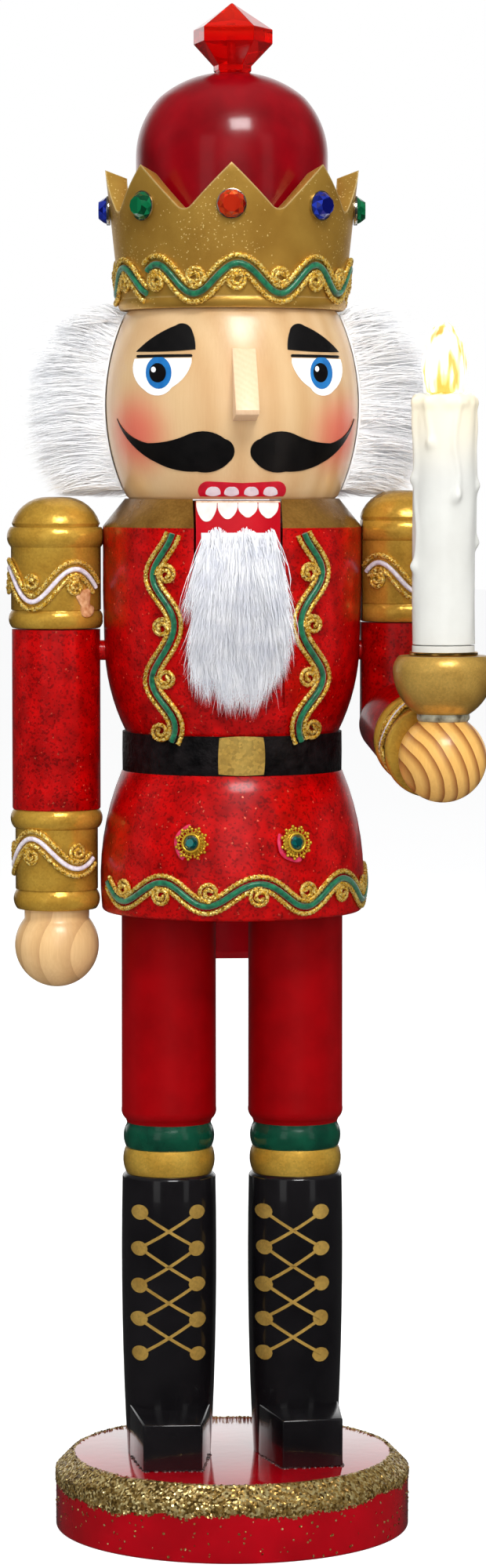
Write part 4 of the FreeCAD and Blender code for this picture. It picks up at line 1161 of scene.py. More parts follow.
def rhinestone(name, colour, sides, radius, depth, table, rim, place, slot, cad_node):
    """Faceted stone made at the origin along +Z, on its silvered rim, and moved into place."""
    deselected()
    bpy.ops.mesh.primitive_cylinder_add(vertices=48, radius=radius * MM, depth=rim * MM,
                                        location=(0, 0, rim / 2 * MM))
    seat = bpy.context.object
    seat.name = name + "_rim"
    moved_in()
    eased(seat, 0.12, 2)
    seat.data.transform(place)
    surfaced(seat, STONE_FOIL)
    fitted(seat, "figure", slot, cad_node)
    wide, low = radius * 0.97, rim * 0.9
    stone = disc(name, sides, wide, low)
    raised([(wide, low), (wide * 0.83, rim + (depth - rim) * 0.42, math.pi / sides),
            (wide * table, depth, math.pi / sides)])
    bpy.ops.mesh.select_all(action="SELECT")
    bpy.ops.mesh.quads_convert_to_tris()
    closed()
    stone.data.transform(place)
    surfaced(stone, colour, 1)
    fitted(stone, "figure", slot, cad_node)


def jewel(name, bright, deep, shine=0.35):
    """Tinted acrylic over foil, each facet painted its own brightness as a painted reflection."""
    material, tree, sockets = coated(name, Roughness=0.06, Coat_Weight=1.0, Coat_Roughness=0.02,
                                     Metallic=shine)
    # Painted reflection: each facet is given its own brightness between the deep and the bright tone.
    facet = node(tree, "NewGeometry").outputs["True Normal"]
    facet = vector_worked(tree, "SNAP", facet, (0.11, 0.11, 0.11))
    cell = node(tree, "TexWhiteNoise", {"noise_dimensions": "3D"}, {"Vector": facet}).outputs["Value"]
    tree.links.new(mixed(tree, cell, deep, bright), sockets["Base Color"])
    return material


STONE_FOIL = clouded("stone_foil", tone(236, 234, 226), tone(168, 160, 148), 0.0015, Metallic=1.0,
                     Roughness=0.22)
JEWELS = {
    "red": jewel("red_jewel", tone(238, 60, 24), tone(120, 0, 4)),
    "green": jewel("green_jewel", tone(18, 128, 78), tone(2, 60, 34)),
    "blue": jewel("blue_jewel", tone(44, 66, 190), tone(8, 14, 92)),
    "teal": jewel("teal_jewel", tone(12, 112, 108), tone(0, 34, 42)),
}
STONE_COLOURS = ["green", "blue", "green", "red", "blue", "green", "red", "blue"]
for index, colour in enumerate(STONE_COLOURS):
    outward = Matrix.Rotation(math.radians(CROWN_TURN + index * 45), 4, "Z")
    seat_place = outward @ Matrix.Translation((STONE_SEAT * MM, 0, STONE_Z * MM))
    seat_place = seat_place @ Matrix.Rotation(math.pi / 2, 4, "Y")
    rhinestone("crown_jewel_%d" % (index + 1), JEWELS[colour], 10, STONE_R, 2.9, 0.6, 0.9, seat_place,
               colour + "_crystal", "crown_stone_%d" % (index + 1))

# ---- Cap ----
# The domed cap inside the crown, turned in one piece and lacquered in deep crimson.

cap = turned("crown_cap", [(23.8, CROWN_FLOOR), (23.8, 343.3), (22.2, 351.2, 18.0, 357.7),
                           (10.6, 362.2, 4.0, 363.8), (0, 363.8)], sides=160, steps=16)
CAP_CRIMSON = crimson_lacquer("cap_crimson", tone(142, 0, 14), tone(92, 0, 6), 0.3, 0.0028, 1.0, 0.6, 0.16)
surfaced(cap, CAP_CRIMSON, 50)
fitted(cap, "figure", "crimson_lacquer", "cap")

# ---- Finial ----
# A clear red acrylic bead with five sides, on a pin in the top of the cap.


def finial():
    """Stack of pentagons, wide at the belt and pointed on top."""
    rings = [(4.4, 363.8), (5.0, 364.4), (5.0, 365.6), (10.4, 371.2), (10.4, 374.7), (0.25, 381.0)]
    gem = disc("finial_bead", 5, *rings[0], turn=math.radians(10 - 90))
    raised(rings)
    closed()
    eased(gem, 0.16, 2)
    return gem


gem_red, gem_tree, gem_sockets = coated("gem_red", Roughness=0.02, Transmission_Weight=0.62, IOR=1.49,
                                        Coat_Weight=0.5, Coat_Roughness=0.01)
# Painted highlight: the upper facets of the bead are painted a lighter orange red than the lower ones.
gem_height = node(gem_tree, "SeparateXYZ", sockets={0: place_in(gem_tree)}).outputs[2]
gem_colour_and_top_light = mixed(gem_tree, carried(gem_tree, gem_height, 0.372, 0.379), tone(206, 2, 2), tone(250, 44, 14))
gem_tree.links.new(gem_colour_and_top_light, gem_sockets["Base Color"])
gem = finial()
surfaced(gem, gem_red, 1)
fitted(gem, "figure", "red_crystal", "finial_gem")

# ---- Braids on the crown, the coat and the hem ----
# Furnishing braid glued on: a green satin cord laid in waves, a twisted gold cord along each side of
# it, and a small gold spiral in every bend. On the arms the middle cord is white.


def cord_shape(points, normals, radius, flat, ridge, pitch, sides=8):
    """Points and faces of a twisted cord along a line, with two strands showing as ridges."""
    points, normals = np.asarray(points, dtype=float), np.asarray(normals, dtype=float)
    along = np.gradient(points, axis=0)
    step = np.linalg.norm(along, axis=1)
    along /= step[:, None]
    travelled = np.cumsum(step)
    side = np.cross(along, normals)
    side /= np.linalg.norm(side, axis=1, keepdims=True)
    up = np.cross(side, along)
    rings = []
    for k in range(sides):
        angle = 2 * math.pi * k / sides
        reach = radius * (1 + ridge * np.cos(2 * angle + 2 * math.pi * travelled / pitch))
        rings.append(points + (side * math.cos(angle) + up * (math.sin(angle) * flat)) * reach[:, None])
    grid = np.stack(rings, axis=1).reshape(-1, 3)
    count = len(points)
    faces = []
    for i in range(count - 1):
        for k in range(sides):
            a, b = i * sides + k, i * sides + (k + 1) % sides
            faces.append((a, b, b + sides, a + sides))
    faces.append(tuple(range(sides - 1, -1, -1)))
    faces.append(tuple((count - 1) * sides + k for k in range(sides)))
    return grid, faces


def cords_piece(name, cords):
    """One piece from several cords."""
    points, faces, first = [], [], 0
    for grid, quads in cords:
        points.append(grid)
        faces += [tuple(first + v for v in face) for face in quads]
        first += len(grid)
    piece = mesh_piece(name, np.concatenate(points) * MM, faces)
    opened(piece)
    closed()
    return piece


def round_the(surface, place=None, reference=10.0):
    """Mapping from a flat strip, with u along and v up it, onto a turned surface. u starts at the
    front and runs towards +X."""
    place = place or Matrix.Identity(4)
    turn = np.array(place.to_3x3())
    shift = np.array(place.translation)

    def lay(u, v, lift):
        angle = u / reference
        radius = np.array([surface(height) for height in v]) + lift
        out = np.stack([np.sin(angle), -np.cos(angle), np.zeros_like(angle)], axis=1)
        points = out * radius[:, None]
        points[:, 2] += v
        return points @ turn.T + shift, out @ turn.T
    return lay


def down_the(surface, across, top):
    """Mapping for a braid that hangs down a turned surface: u runs down, v across."""
    def lay(u, v, lift):
        height = top - u
        radius = np.array([surface(z) for z in height])
        angle = np.arcsin(np.clip((across + v) / radius, -1, 1))
        out = np.stack([np.sin(angle), -np.cos(angle), np.zeros_like(angle)], axis=1)
        points = out * (radius + lift)[:, None]
        points[:, 2] += height
        return points, out
    return lay


CURL_TURNS = 1.75


def braid(name, lay, length, wave, swing, middle, start_phase, material, slot, curl=2.6, offset=1.95, seed=1,
          green=0.78, gold=0.58, replaced=(), skip=None, curls_from=0.0, u_start=0.0, end_phase=None):
    """A whole braid: its middle cord, its two edge cords and its curls."""
    chance = random.Random(seed)
    steps = int(length / 0.2)
    u = np.linspace(0, length, steps)
    if end_phase is None:
        end_phase = start_phase + length / wave
    phase = np.interp(u, [0, length], [start_phase, end_phase])
    wobble = 0.25 * np.sin(u * 0.19 + seed) + 0.18 * np.sin(u * 0.47 + 2 * seed)
    v = middle + swing * np.cos(2 * math.pi * phase) + wobble
    du, dv = np.gradient(u), np.gradient(v)
    size = np.hypot(du, dv)
    nu, nv = -dv / size, du / size
    open_part = np.ones(steps, dtype=bool) if skip is None else ~skip(u + u_start)
    runs, begin = [], None
    for i in range(steps + 1):
        inside = i < steps and open_part[i]
        if inside and begin is None:
            begin = i
        if not inside and begin is not None:
            if i - begin > 8:
                runs.append((begin, i))
            begin = None
    centre_cords, gold_cords = [], []
    for a, b in runs:
        points, normals = lay(u[a:b] + u_start, v[a:b], green * 0.75)
        centre_cords.append(cord_shape(points, normals, green, 0.85, 0.05, 0.8))
        for side in (-1, 1):
            bend = np.cos(2 * math.pi * phase[a:b]) * side
            gap = offset + 0.15 * bend
            points, normals = lay(u[a:b] + u_start + side * nu[a:b] * gap, v[a:b] + side * nv[a:b] * gap,
                                  gold * 0.8)
            gold_cords.append(cord_shape(points, normals, gold, 0.9, 0.2, 1.1))
    first, last = math.ceil(start_phase * 2 + 0.2), math.floor(end_phase * 2 - 0.2)
    for half in range(first, last + 1):
        at = (half / 2 - start_phase) / (end_phase - start_phase) * length
        if at < curls_from or (skip is not None and skip(np.array([at + u_start]))[0]):
            continue
        side = -1 if half % 2 == 0 else 1
        turn = side * chance.choice((-1, 1))
        begin_angle = -side * math.pi / 2 + chance.uniform(-0.5, 0.5)
        t = np.linspace(0, 1, 66)
        spiral = curl * (1 - 0.8 * t) * (1 + 0.06 * np.sin(9 * t + half))
        angle = begin_angle + turn * 2 * math.pi * CURL_TURNS * t
        cu = at + u_start + chance.uniform(-0.3, 0.3) + spiral * np.cos(angle)
        cv = middle + side * 0.55 + spiral * np.sin(angle) * 0.95
        points, normals = lay(cu, cv, gold * 0.85 + 0.25 * t)
        gold_cords.append(cord_shape(points, normals, gold * 0.9, 0.9, 0.2, 1.0))
    centre = cords_piece(name + "_middle_cord", centre_cords)
    surfaced(centre, material, 70)
    fitted(centre, "figure", slot, *replaced)
    edges = cords_piece(name + "_gold_cords", gold_cords)
    surfaced(edges, THREAD_GOLD, 70)
    fitted(edges, "figure", slot, *replaced)


def thread_gold():
    """Metallised thread wound round a core. Each turn catches the light at its own angle."""
    material, tree, sockets = coated("thread_gold", Metallic=0.5, Roughness=0.34)
    flakes = placed(tree, FLAKES, Size=0.00032, Tilt=0.75)
    thread = ramped(tree, flakes["Shade"], [(0.0, tone(132, 82, 8)), (0.4, tone(238, 180, 44)),
                                            (1.0, tone(255, 236, 150))])
    tree.links.new(thread, sockets["Base Color"])
    tree.links.new(flakes["Normal"], sockets["Normal"])
    return material


def satin(name, light, dark):
    """Rayon wound round a core: silky, in fine turns."""
    return clouded(name, light, dark, 0.0012, 2.5, 0.00028, strength=0.6, Roughness=0.34, Sheen_Weight=0.3,
                   Coat_Weight=0.25, Coat_Roughness=0.2)


THREAD_GOLD = thread_gold()
SATIN_GREEN = satin("satin_green", tone(10, 122, 80), tone(0, 64, 42))
SATIN_WHITE = satin("satin_white", tone(240, 232, 236), tone(196, 180, 196))

crown_skin = skin(CROWN)
CROWN_REF = 28.9
crown_turns = math.radians(358.5) * CROWN_REF
crown_start = math.radians(-48) * CROWN_REF
braid("crown_braid", round_the(crown_skin, reference=CROWN_REF), crown_turns, 21.0, 3.5, 312.2, -0.15,
      SATIN_GREEN, "green_gold_braid", u_start=crown_start, end_phase=8.45, replaced=("crown_braid",), seed=3,
      gold=0.66, offset=1.85)

SKIRT_REF, HEM_WAVE = 33.0, 24.9
skirt_skin = skin(SKIRT)


def at_left_cuff(u):
    """Where the straight arm stands against the hem and the braid is left open."""
    angle = np.degrees(u / SKIRT_REF) % 360
    return (angle > 250) & (angle < 290)


hem_start = math.radians(-90) * SKIRT_REF
braid("hem_braid", round_the(skirt_skin, reference=SKIRT_REF), math.radians(359) * SKIRT_REF, HEM_WAVE, 2.9,
      162.5, (hem_start - math.radians(8.7) * SKIRT_REF) / HEM_WAVE, SATIN_GREEN, "green_gold_braid",
      skip=at_left_cuff, u_start=hem_start, replaced=("skirt_braid",), seed=5, green=0.74, gold=0.58,
      offset=1.6)

chest_skin = skin([(27.5, 198.0), (27.5, TORSO_LOW), (27.6, TORSO_LOW + 0.4)] + CHEST[1:])
for side, word, phase in ((-1, "left", 0.1), (1, "right", 0.62)):
    braid(word + "_chest_braid", down_the(chest_skin, side * 17.7, 250.4), 51.0, 25.5, 2.7, 0.0, phase,
          SATIN_GREEN, "green_gold_braid", replaced=(word + "_front_braid",), seed=7 + side, green=0.76,
          gold=0.58, curl=2.5, offset=1.5)

# ---- Buttons ----
# Two pressed gilt rosettes on the skirt, each a ring of beads and loops round a teal rhinestone. The
# glue dried as a pink rim along one side of each.

BUTTON_R, BUTTON_SEAT, BUTTON_LEAN, GLUE_R = 32.3, 32.65, 82, 4.2


def rosette(name, place, cad_node, seed):
    """Eleven petals of beads round a bezel, made flat at the origin and laid on the skirt."""
    chance = random.Random(seed)
    parts = []

    def ring(major, minor, segments, sides, place):
        """A wire ring lying flat."""
        deselected()
        bpy.ops.mesh.primitive_torus_add(major_radius=major * MM, minor_radius=minor * MM,
                                         major_segments=segments, minor_segments=sides, location=place * MM)
        parts.append(bpy.context.object)

    ring(2.15, 0.32, 36, 10, Vector((0, 0, 1.5)))
    deselected()
    bpy.ops.mesh.primitive_cone_add(vertices=44, radius1=2.9 * MM, radius2=2.2 * MM, depth=0.7 * MM,
                                    location=(0, 0, 0.5 * MM))
    parts.append(bpy.context.object)
    for petal in range(11):
        angle = 2 * math.pi * petal / 11 + chance.uniform(-0.05, 0.05)
        out = Vector((math.cos(angle), math.sin(angle), 0))
        across = Vector((-out.y, out.x, 0)) * 0.56
        ring(0.52, 0.16, 14, 6, out * 2.8 + Vector((0, 0, 1.1)))
        for spot, size, rise in ((out * 4.0, 0.4, 0.95), (out * 3.4 + across, 0.36, 1.1),
                                 (out * 3.4 - across, 0.36, 1.1)):
            deselected()
            bpy.ops.mesh.primitive_uv_sphere_add(segments=12, ring_count=8, radius=size * MM,
                                                 location=(spot + Vector((0, 0, rise))) * MM)
            parts.append(bpy.context.object)
    deselected()
    for part in parts:
        part.select_set(True)
    bpy.context.view_layer.objects.active = parts[0]
    bpy.ops.object.join()
    button = bpy.context.object
    button.name = name
    moved_in()
    button.data.transform(place)
    surfaced(button, BUTTON_GOLD, 60)
    fitted(button, "figure", "gold_foil", cad_node)


BUTTON_GOLD = gold_paint("button_gold", tone(255, 214, 70), tone(226, 168, 34), 0.26, 0.0004, 0.25)
pink_glue = clouded("pink_glue", tone(232, 70, 110), tone(186, 16, 52), 0.002, Roughness=0.15,
                    Coat_Weight=0.6)
for word, x, height in (("left", -11.0, 175.0), ("right", 13.6, 175.0)):
    around_z = Matrix.Rotation(math.asin(x / BUTTON_R), 4, "Z")
    spot = around_z @ Matrix.Translation((0, -BUTTON_SEAT * MM, height * MM))
    spot = spot @ Matrix.Rotation(math.radians(BUTTON_LEAN), 4, "X")
    rosette(word + "_rosette", spot, word + "_button", 31)
    rhinestone(word + "_rosette_stone", JEWELS["teal"], 8, 1.85, 2.6, 0.55, 1.6, spot, "teal_crystal",
               word + "_button_stone")
    glue_arc = []
    for k in range(40):
        angle = math.radians((150 if word == "right" else 100) + 3.6 * k)
        glue_arc.append(spot @ (Vector((math.cos(angle), math.sin(angle), 0)) * GLUE_R * MM))
    facing = np.tile(np.array(spot.to_3x3() @ Vector((0, 0, 1))), (40, 1))
    grid, quads = cord_shape(np.array(glue_arc) / MM, facing, 0.55, 0.7, 0.12, 5.0)
    rim = cords_piece(word + "_button_glue", [(grid, quads)])
    surfaced(rim, pink_glue, 60)
    fitted(rim, "figure", "glitter_coat")

# ---- Arms ----
# Turned from one stick each: domed gold shoulder, red glitter sleeve, gold cuff. The straight arm
# hangs down. The other is sawn at the elbow and glued in a mitre, its forearm held forward.

LEFT_X, RIGHT_X, ARM_FLAT, ELBOW_Z = -43.9, 42.9, 32.35, 203.5
ARM_GOLD = gold_paint("arm_gold", tone(252, 202, 84), tone(206, 150, 50), 0.25, 0.0005, 0.18)


def sliced(piece, point, normal):
    """Saw off what lies on the normal's side of a plane, and close the cut."""
    opened(piece)
    bpy.ops.mesh.bisect(plane_co=point, plane_no=normal, use_fill=True, clear_outer=True)
    bpy.ops.object.mode_set(mode="OBJECT")


def bead(low, high, radius):
    """Outline of a rounded bead between two heights."""
    return [(radius - 0.9, low), (radius, (low + high) / 2, radius - 0.9, high)]


SHOULDER = (bead(226.6, 231.1, 11.8) + [(11.2, 231.15), (11.2, 246.75)] + bead(246.8, 251.7, 12.2)
            + [(10.6, 251.75), (11.0, 252.6), (8.2, 256.9, 0.0, 258.9)])
CUFF = bead(156.5, 161.4, 10.8) + [(10.3, 161.45), (10.3, 176.75)] + bead(176.8, 181.5, 11.5) + [(0, 181.5)]
droop, yaw = math.radians(5.4), math.radians(2.6)
forward = Vector((math.sin(yaw) * math.cos(droop), -math.cos(yaw) * math.cos(droop), -math.sin(droop)))
elbow = Vector((RIGHT_X, 0, ELBOW_Z)) * MM
mitre = (forward - Vector((0, 0, 1))).normalized()
for word, x, lift, side in (("left", LEFT_X, 0.0, -1), ("right", RIGHT_X, 1.6, 1)):
    cad_node = "left_arm" if side < 0 else "right_upper_arm"
    flat_side = ((side * ARM_FLAT * MM, 0, 0), (-side, 0, 0))
    shoulder = turned(word + "_shoulder", [(r, z + lift) for r, z in rings_of(SHOULDER, 8)], (x, 0.0))
    sliced(shoulder, *flat_side)
    eased(shoulder, 0.12, 2, 35)
    surfaced(shoulder, ARM_GOLD)
    fitted(shoulder, "figure", "gold_paint", cad_node)
    low = 181.5 if side < 0 else 181.6
    sleeve = turned(word + "_sleeve", [(10.85, low), (11.0, low + 0.3), (11.0, 226.3 + lift),
                                       (0, 226.6 + lift)], (x, 0.0))
    sliced(sleeve, *flat_side)
    if side > 0:
        sliced(sleeve, elbow, mitre)
    surfaced(sleeve, COAT_RED)
    fitted(sleeve, "figure", "glitter_coat", cad_node)
cuff = turned("left_cuff", CUFF, (LEFT_X, 0.0))
sliced(cuff, (-ARM_FLAT * MM, 0, 0), (1, 0, 0))
eased(cuff, 0.12, 2, 35)
surfaced(cuff, ARM_GOLD)
fitted(cuff, "figure", "gold_paint", "left_arm")

along_forearm = Vector((0, 0, 1)).rotation_difference(forward).to_matrix().to_4x4()
along_forearm = Matrix.Translation(elbow) @ along_forearm
forearm = turned("right_forearm_sleeve", [(11.0, -30.0), (11.0, 30.0), (0, 30.0)])
forearm.data.transform(along_forearm)
sliced(forearm, elbow, -mitre)
surfaced(forearm, COAT_RED)
fitted(forearm, "figure", "glitter_coat", "right_forearm")
fore_cuff = turned("right_cuff", bead(30.0, 34.0, 11.5) + [(10.3, 34.05), (10.3, 48.55)]
                   + bead(48.6, 53.0, 11.3) + [(0, 53.0)])
eased(fore_cuff, 0.12, 2, 35)
fore_cuff.data.transform(along_forearm)
surfaced(fore_cuff, ARM_GOLD)
fitted(fore_cuff, "figure", "gold_paint", "right_forearm")

for word, x, lift, radius, middle, cad_node, seed, off, waves, phase in (
        ("left_shoulder", LEFT_X, 0.0, 11.2, 237.6, "left_shoulder_braid", 11, -1, 3.25, 0.16),
        ("right_shoulder", RIGHT_X, 1.6, 11.2, 237.6, "right_shoulder_braid", 12, 1, 3.25, 0.72),
        ("left_cuff", LEFT_X, 0.0, 10.3, 170.6, "left_cuff_braid", 13, -1, 2.7, 0.93)):
    reference = radius + 0.8
    here = Matrix.Translation((x, 0, lift))

    def hidden(u, off=off, reference=reference):
        """The side of the arm that stands against the coat."""
        return np.sin(u / reference) * -off > 0.84

    whole = 2 * math.pi * reference
    lay = round_the(lambda height, radius=radius: radius, here, reference)
    braid(word + "_braid", lay, whole, whole / waves, 3.9, middle, phase, SATIN_WHITE, "white_gold_braid",
          u_start=-whole / 2, skip=hidden, replaced=(cad_node,), seed=seed, green=0.6, gold=0.58, offset=1.7,
          curl=2.3)
whole = 2 * math.pi * 11.1
fore_place = Matrix(along_forearm)
fore_place.translation = elbow / MM
braid("right_cuff_braid", round_the(lambda height: 10.3, fore_place, 11.1), whole, whole / 4, 2.5, 41.2, 0.3,
      SATIN_WHITE, "white_gold_braid", replaced=("right_cuff_braid",), seed=14, green=0.5, gold=0.5,
      offset=1.5, curl=2.5)

# A run of hot glue hangs below the end of the left shoulder's braid.
DRIP = [(4.4, 235.0), (6.3, 236.2), (8.3, 237.0), (8.1, 234.6), (8.0, 232.8), (9.3, 231.7), (8.8, 230.0),
        (7.2, 229.1), (6.0, 230.1), (5.7, 232.2)]
glue_drip = painted("shoulder_glue_drip", [DRIP], skin(SHOULDER[:-1]), 0.6, (LEFT_X, 0.0), step=0.8, wall=0.9)
modified(glue_drip, "SMOOTH", factor=0.5, iterations=4)
amber_glue = clouded("amber_glue", tone(232, 184, 138), tone(178, 108, 62), 0.0016, 2.5, Roughness=0.16,
                     Coat_Weight=0.4)
surfaced(glue_drip, amber_glue, 60)
fitted(glue_drip, "figure", "gold_paint")

# ---- Hands ----
# Plain wooden balls, sanded and varnished, with their growth rings showing. The straight arm's hand
# is pale, and the one that carries the candle is darker, with strong brown rings.


def ball_wood(name, light, dark, gap, lean, contrast, centre, tilt, axis):
    """Varnished softwood with broad rings round an axis, each ring dark on one side."""
    material, tree, sockets = coated(name, Roughness=0.38, Coat_Weight=0.3, Coat_Roughness=0.15)
    turned_place = node(tree, "Mapping", {"vector_type": "TEXTURE"},
                        {"Vector": place_in(tree), "Location": centre, "Rotation": tilt}).outputs[0]
    rings = node(tree, "TexWave", {"wave_type": "RINGS", "rings_direction": axis, "wave_profile": "SAW"},
                 {"Vector": turned_place, "Scale": 0.32 / gap, "Distortion": 1.3, "Detail": 2.0,
                  "Detail Scale": 0.8}).outputs["Fac"]
    ringed = mixed(tree, carried(tree, rings, lean, 1.0, 0.0, contrast), light, dark)
    thin = placed(tree, GRAIN, Light=(1, 1, 1, 1), Dark=(0.72, 0.6, 0.48, 1.0), Ring_gap=0.02, Lean=0.2,
                  Pores=0.7, Contrast=0.05)
    tree.links.new(mixed(tree, 0.8, ringed, thin["Color"], "MULTIPLY"), sockets["Base Color"])
    bumped(tree, sockets, thin["Height"], 0.00012, 0.4)
    return material


left_hand = turned("left_hand_ball", [(1.0, 136.85), (10.5, 147.3, 8.1, 153.98), (8.1, 156.5), (0, 156.5)],
                   (LEFT_X, 0.0), steps=24)
surfaced(left_hand, ball_wood("left_hand_wood", tone(232, 192, 136), tone(168, 114, 62), 0.0062, 0.5, 0.42,
                              (-0.0605, 0.004, 0.147), (0.08, 0.12, 0.0), "Z"))
fitted(left_hand, "figure", "bare_wood", "left_hand")
right_hand = turned("right_hand_ball", [(1.0, 187.15), (10.5, 197.6, 3.2, 207.6), (0, 207.6)], (46.9, -62.0),
                    steps=30)
surfaced(right_hand, ball_wood("right_hand_wood", tone(236, 184, 100), tone(146, 80, 26), 0.0031, 0.45, 1.0,
                               (0.0255, -0.066, 0.187), (0.12, 0.0, 0.1), "Y"))
fitted(right_hand, "figure", "bare_wood", "right_hand")

# ---- Candle cup ----
# A turned bead in satin gold between the hand and the candle, with a thin brass washer on top.

CANDLE = (47.0, -62.0)
cup = turned("candle_cup_bead", [(5.3, 207.6), (10.2, 212.2, 11.9, 217.6), (11.6, 220.4, 10.5, 222.0),
                                 (0, 222.0)], CANDLE, steps=14)
eased(cup, 0.3, 2, 25)
surfaced(cup, gold_paint("cup_gold", tone(246, 200, 104), tone(196, 148, 64), 0.32, 0.0004, 0.16))
fitted(cup, "figure", "gold_paint", "candle_cup")
cup_glue = turned("cup_glue", [(5.3, 206.2), (6.0, 206.6, 6.3, 207.6), (6.2, 208.4), (0, 208.4)], CANDLE,
                  sides=48)
grey_glue = clouded("grey_glue", tone(176, 172, 150), tone(70, 60, 44), 0.003, 3.0, Roughness=0.2,
                    Coat_Weight=0.3)
surfaced(cup_glue, grey_glue, 60)
fitted(cup_glue, "figure", "gold_paint")
washer = turned("brass_washer", [(8.0, 222.0), (8.2, 222.2), (8.2, 222.7), (8.0, 222.9), (0, 222.9)], CANDLE)
brass = clouded("brass", tone(236, 196, 112), tone(176, 130, 60), 0.002, Metallic=1.0, Roughness=0.25)
surfaced(washer, brass)
fitted(washer, "figure", "brass", "candle_ring")

# ---- Candle ----
# A hollow moulding in milk-white plastic that copies a burnt candle, with runs and drops of wax. It
# lifts off the battery holder. A clear faceted flame turns in its top.

CANDLE_R, CANDLE_LOW, CANDLE_TOP, WAX_TOP = 7.4, 224.7, 283.5, 282.6
BORE_R, CEILING = 6.75, 281.5
WAX_RUNS = [(-72, 259.5, 0.55, 1.15), (197, 263.5, 0.45, 0.9), (203, 243.0, 0.4, 1.0), (3, 248.5, 0.4, 0.95),
            (-8, 262.0, 0.4, 0.8), (60, 252.0, 0.5, 1.1), (130, 262.0, 0.5, 1.0), (95, 240.0, 0.4, 0.9),
            (-125, 272.0, 0.35, 0.7)]


def wax(angle, height):
    """How far the wax stands out from the plain tube."""
    proud = 0.06 * math.sin(3 * angle + 0.15 * height) + 0.04 * math.sin(7 * angle - 0.3 * height)
    for azimuth, low, run, drop in WAX_RUNS:
        meander = math.radians(azimuth) + 0.07 * math.sin(0.35 * height + azimuth)
        gap = CANDLE_R * abs((angle - meander + math.pi) % (2 * math.pi) - math.pi)
        reach = 1 / (1 + math.exp(-(height - low) * 1.6))
        proud += run * math.exp(-(gap / 0.85) ** 2) * reach
        proud += drop * math.exp(-(gap / 1.15) ** 2 - ((height - low) / 1.5) ** 2)
    lip = math.exp(-((height - 281.6) / 1.3) ** 2)
    return proud + lip * (0.35 + 0.2 * math.sin(5 * angle + 1) + 0.12 * math.sin(11 * angle))


def candle_tube():
    """Closed shell: wax outside, a melted lip, and the plain bore inside."""
    turns, rings = 180, 151
    outer = [CANDLE_LOW + k * (WAX_TOP - CANDLE_LOW) / (rings - 1) for k in range(rings)]
    points = []
    for i in range(turns):
        angle = 2 * math.pi * i / turns
        ripple = 0.35 * math.sin(4 * angle + 0.5) + 0.2 * math.sin(9 * angle)
        column = [(CANDLE_R + min(wax(angle, z), 1.35), z) for z in outer]
        column += [(7.3, CANDLE_TOP - 0.25 + ripple * 0.4), (6.6, CANDLE_TOP + 0.1 + ripple * 0.5),
                   (5.4, CANDLE_TOP - 0.2 + ripple * 0.3), (4.7, CANDLE_TOP - 0.5), (4.35, CANDLE_TOP - 1.0),
                   (4.35, CEILING), (BORE_R, CEILING), (BORE_R, CANDLE_LOW)]
        for radius, z in column:
            points.append((CANDLE[0] + radius * math.cos(angle), CANDLE[1] + radius * math.sin(angle), z))
    rows = len(points) // turns
    faces = [(i * rows + j, (i + 1) % turns * rows + j, (i + 1) % turns * rows + (j + 1) % rows,
              i * rows + (j + 1) % rows) for i in range(turns) for j in range(rows)]
    return mesh_piece("candle_tube", np.array(points) * MM, faces)


milk, milk_tree, milk_sockets = coated("milk_plastic", Roughness=0.34, Coat_Weight=0.15, Coat_Roughness=0.2)
# Painted light: the top of the tube is painted warmer and glows faintly, for the lamp shining through it.
milk_height = node(milk_tree, "SeparateXYZ", sockets={0: place_in(milk_tree)}).outputs[2]
painted_lamp_glow = carried(milk_tree, milk_height, 0.262, 0.284, curve="SMOOTHSTEP")
milk_cloud = placed(milk_tree, MOTTLE, Light=tone(216, 216, 210), Dark=tone(206, 205, 199), Size=0.01)
for socket, low_colour, top_colour in (("Base Color", milk_cloud["Color"], tone(240, 230, 204)),
                                       ("Emission Color", (0.0, 0.0, 0.0, 1.0), tone(255, 214, 130))):
    milk_tree.links.new(mixed(milk_tree, painted_lamp_glow, low_colour, top_colour), milk_sockets[socket])
milk_sockets["Emission Strength"].default_value = 0.05
bumped(milk_tree, milk_sockets, placed(milk_tree, PEEL, Size=0.004)["Height"], 0.0001, 0.4)
tube = candle_tube()
surfaced(tube, milk, 50)
fitted(tube, "candle", "candle_white", "candle_sleeve")


def flame():
    """Eight-sided clear flame whose rings are turned half a side each, on its round stem."""
    half = math.pi / 8
    rings = [(3.9, 276.3), (3.9, 283.7), (4.7, 284.1), (5.3, 287.6, half), (5.4, 291.2, half),
             (4.5, 295.8, half), (2.6, 299.2, half), (0.5, 301.2)]
    piece = disc("flame_crystal", 8, *rings[0], CANDLE)
    raised(rings, CANDLE)
    bpy.ops.mesh.select_all(action="SELECT")
    bpy.ops.mesh.quads_convert_to_tris()
    closed()
    return piece


clear, clear_tree, clear_sockets = coated("flame_clear", Roughness=0.03, Transmission_Weight=0.35, IOR=1.46)
streak_place = vector_worked(clear_tree, "MULTIPLY", place_in(clear_tree), (1.0, 1.0, 0.16))
streaks = node(clear_tree, "TexNoise", sockets={"Vector": streak_place, "Scale": 520.0, "Detail": 1.0})
streak_and_glow_colour = ramped(clear_tree, streaks.outputs["Fac"], [
    (0.47, tone(255, 250, 232)), (0.54, tone(252, 226, 170)), (0.64, tone(216, 158, 78))])
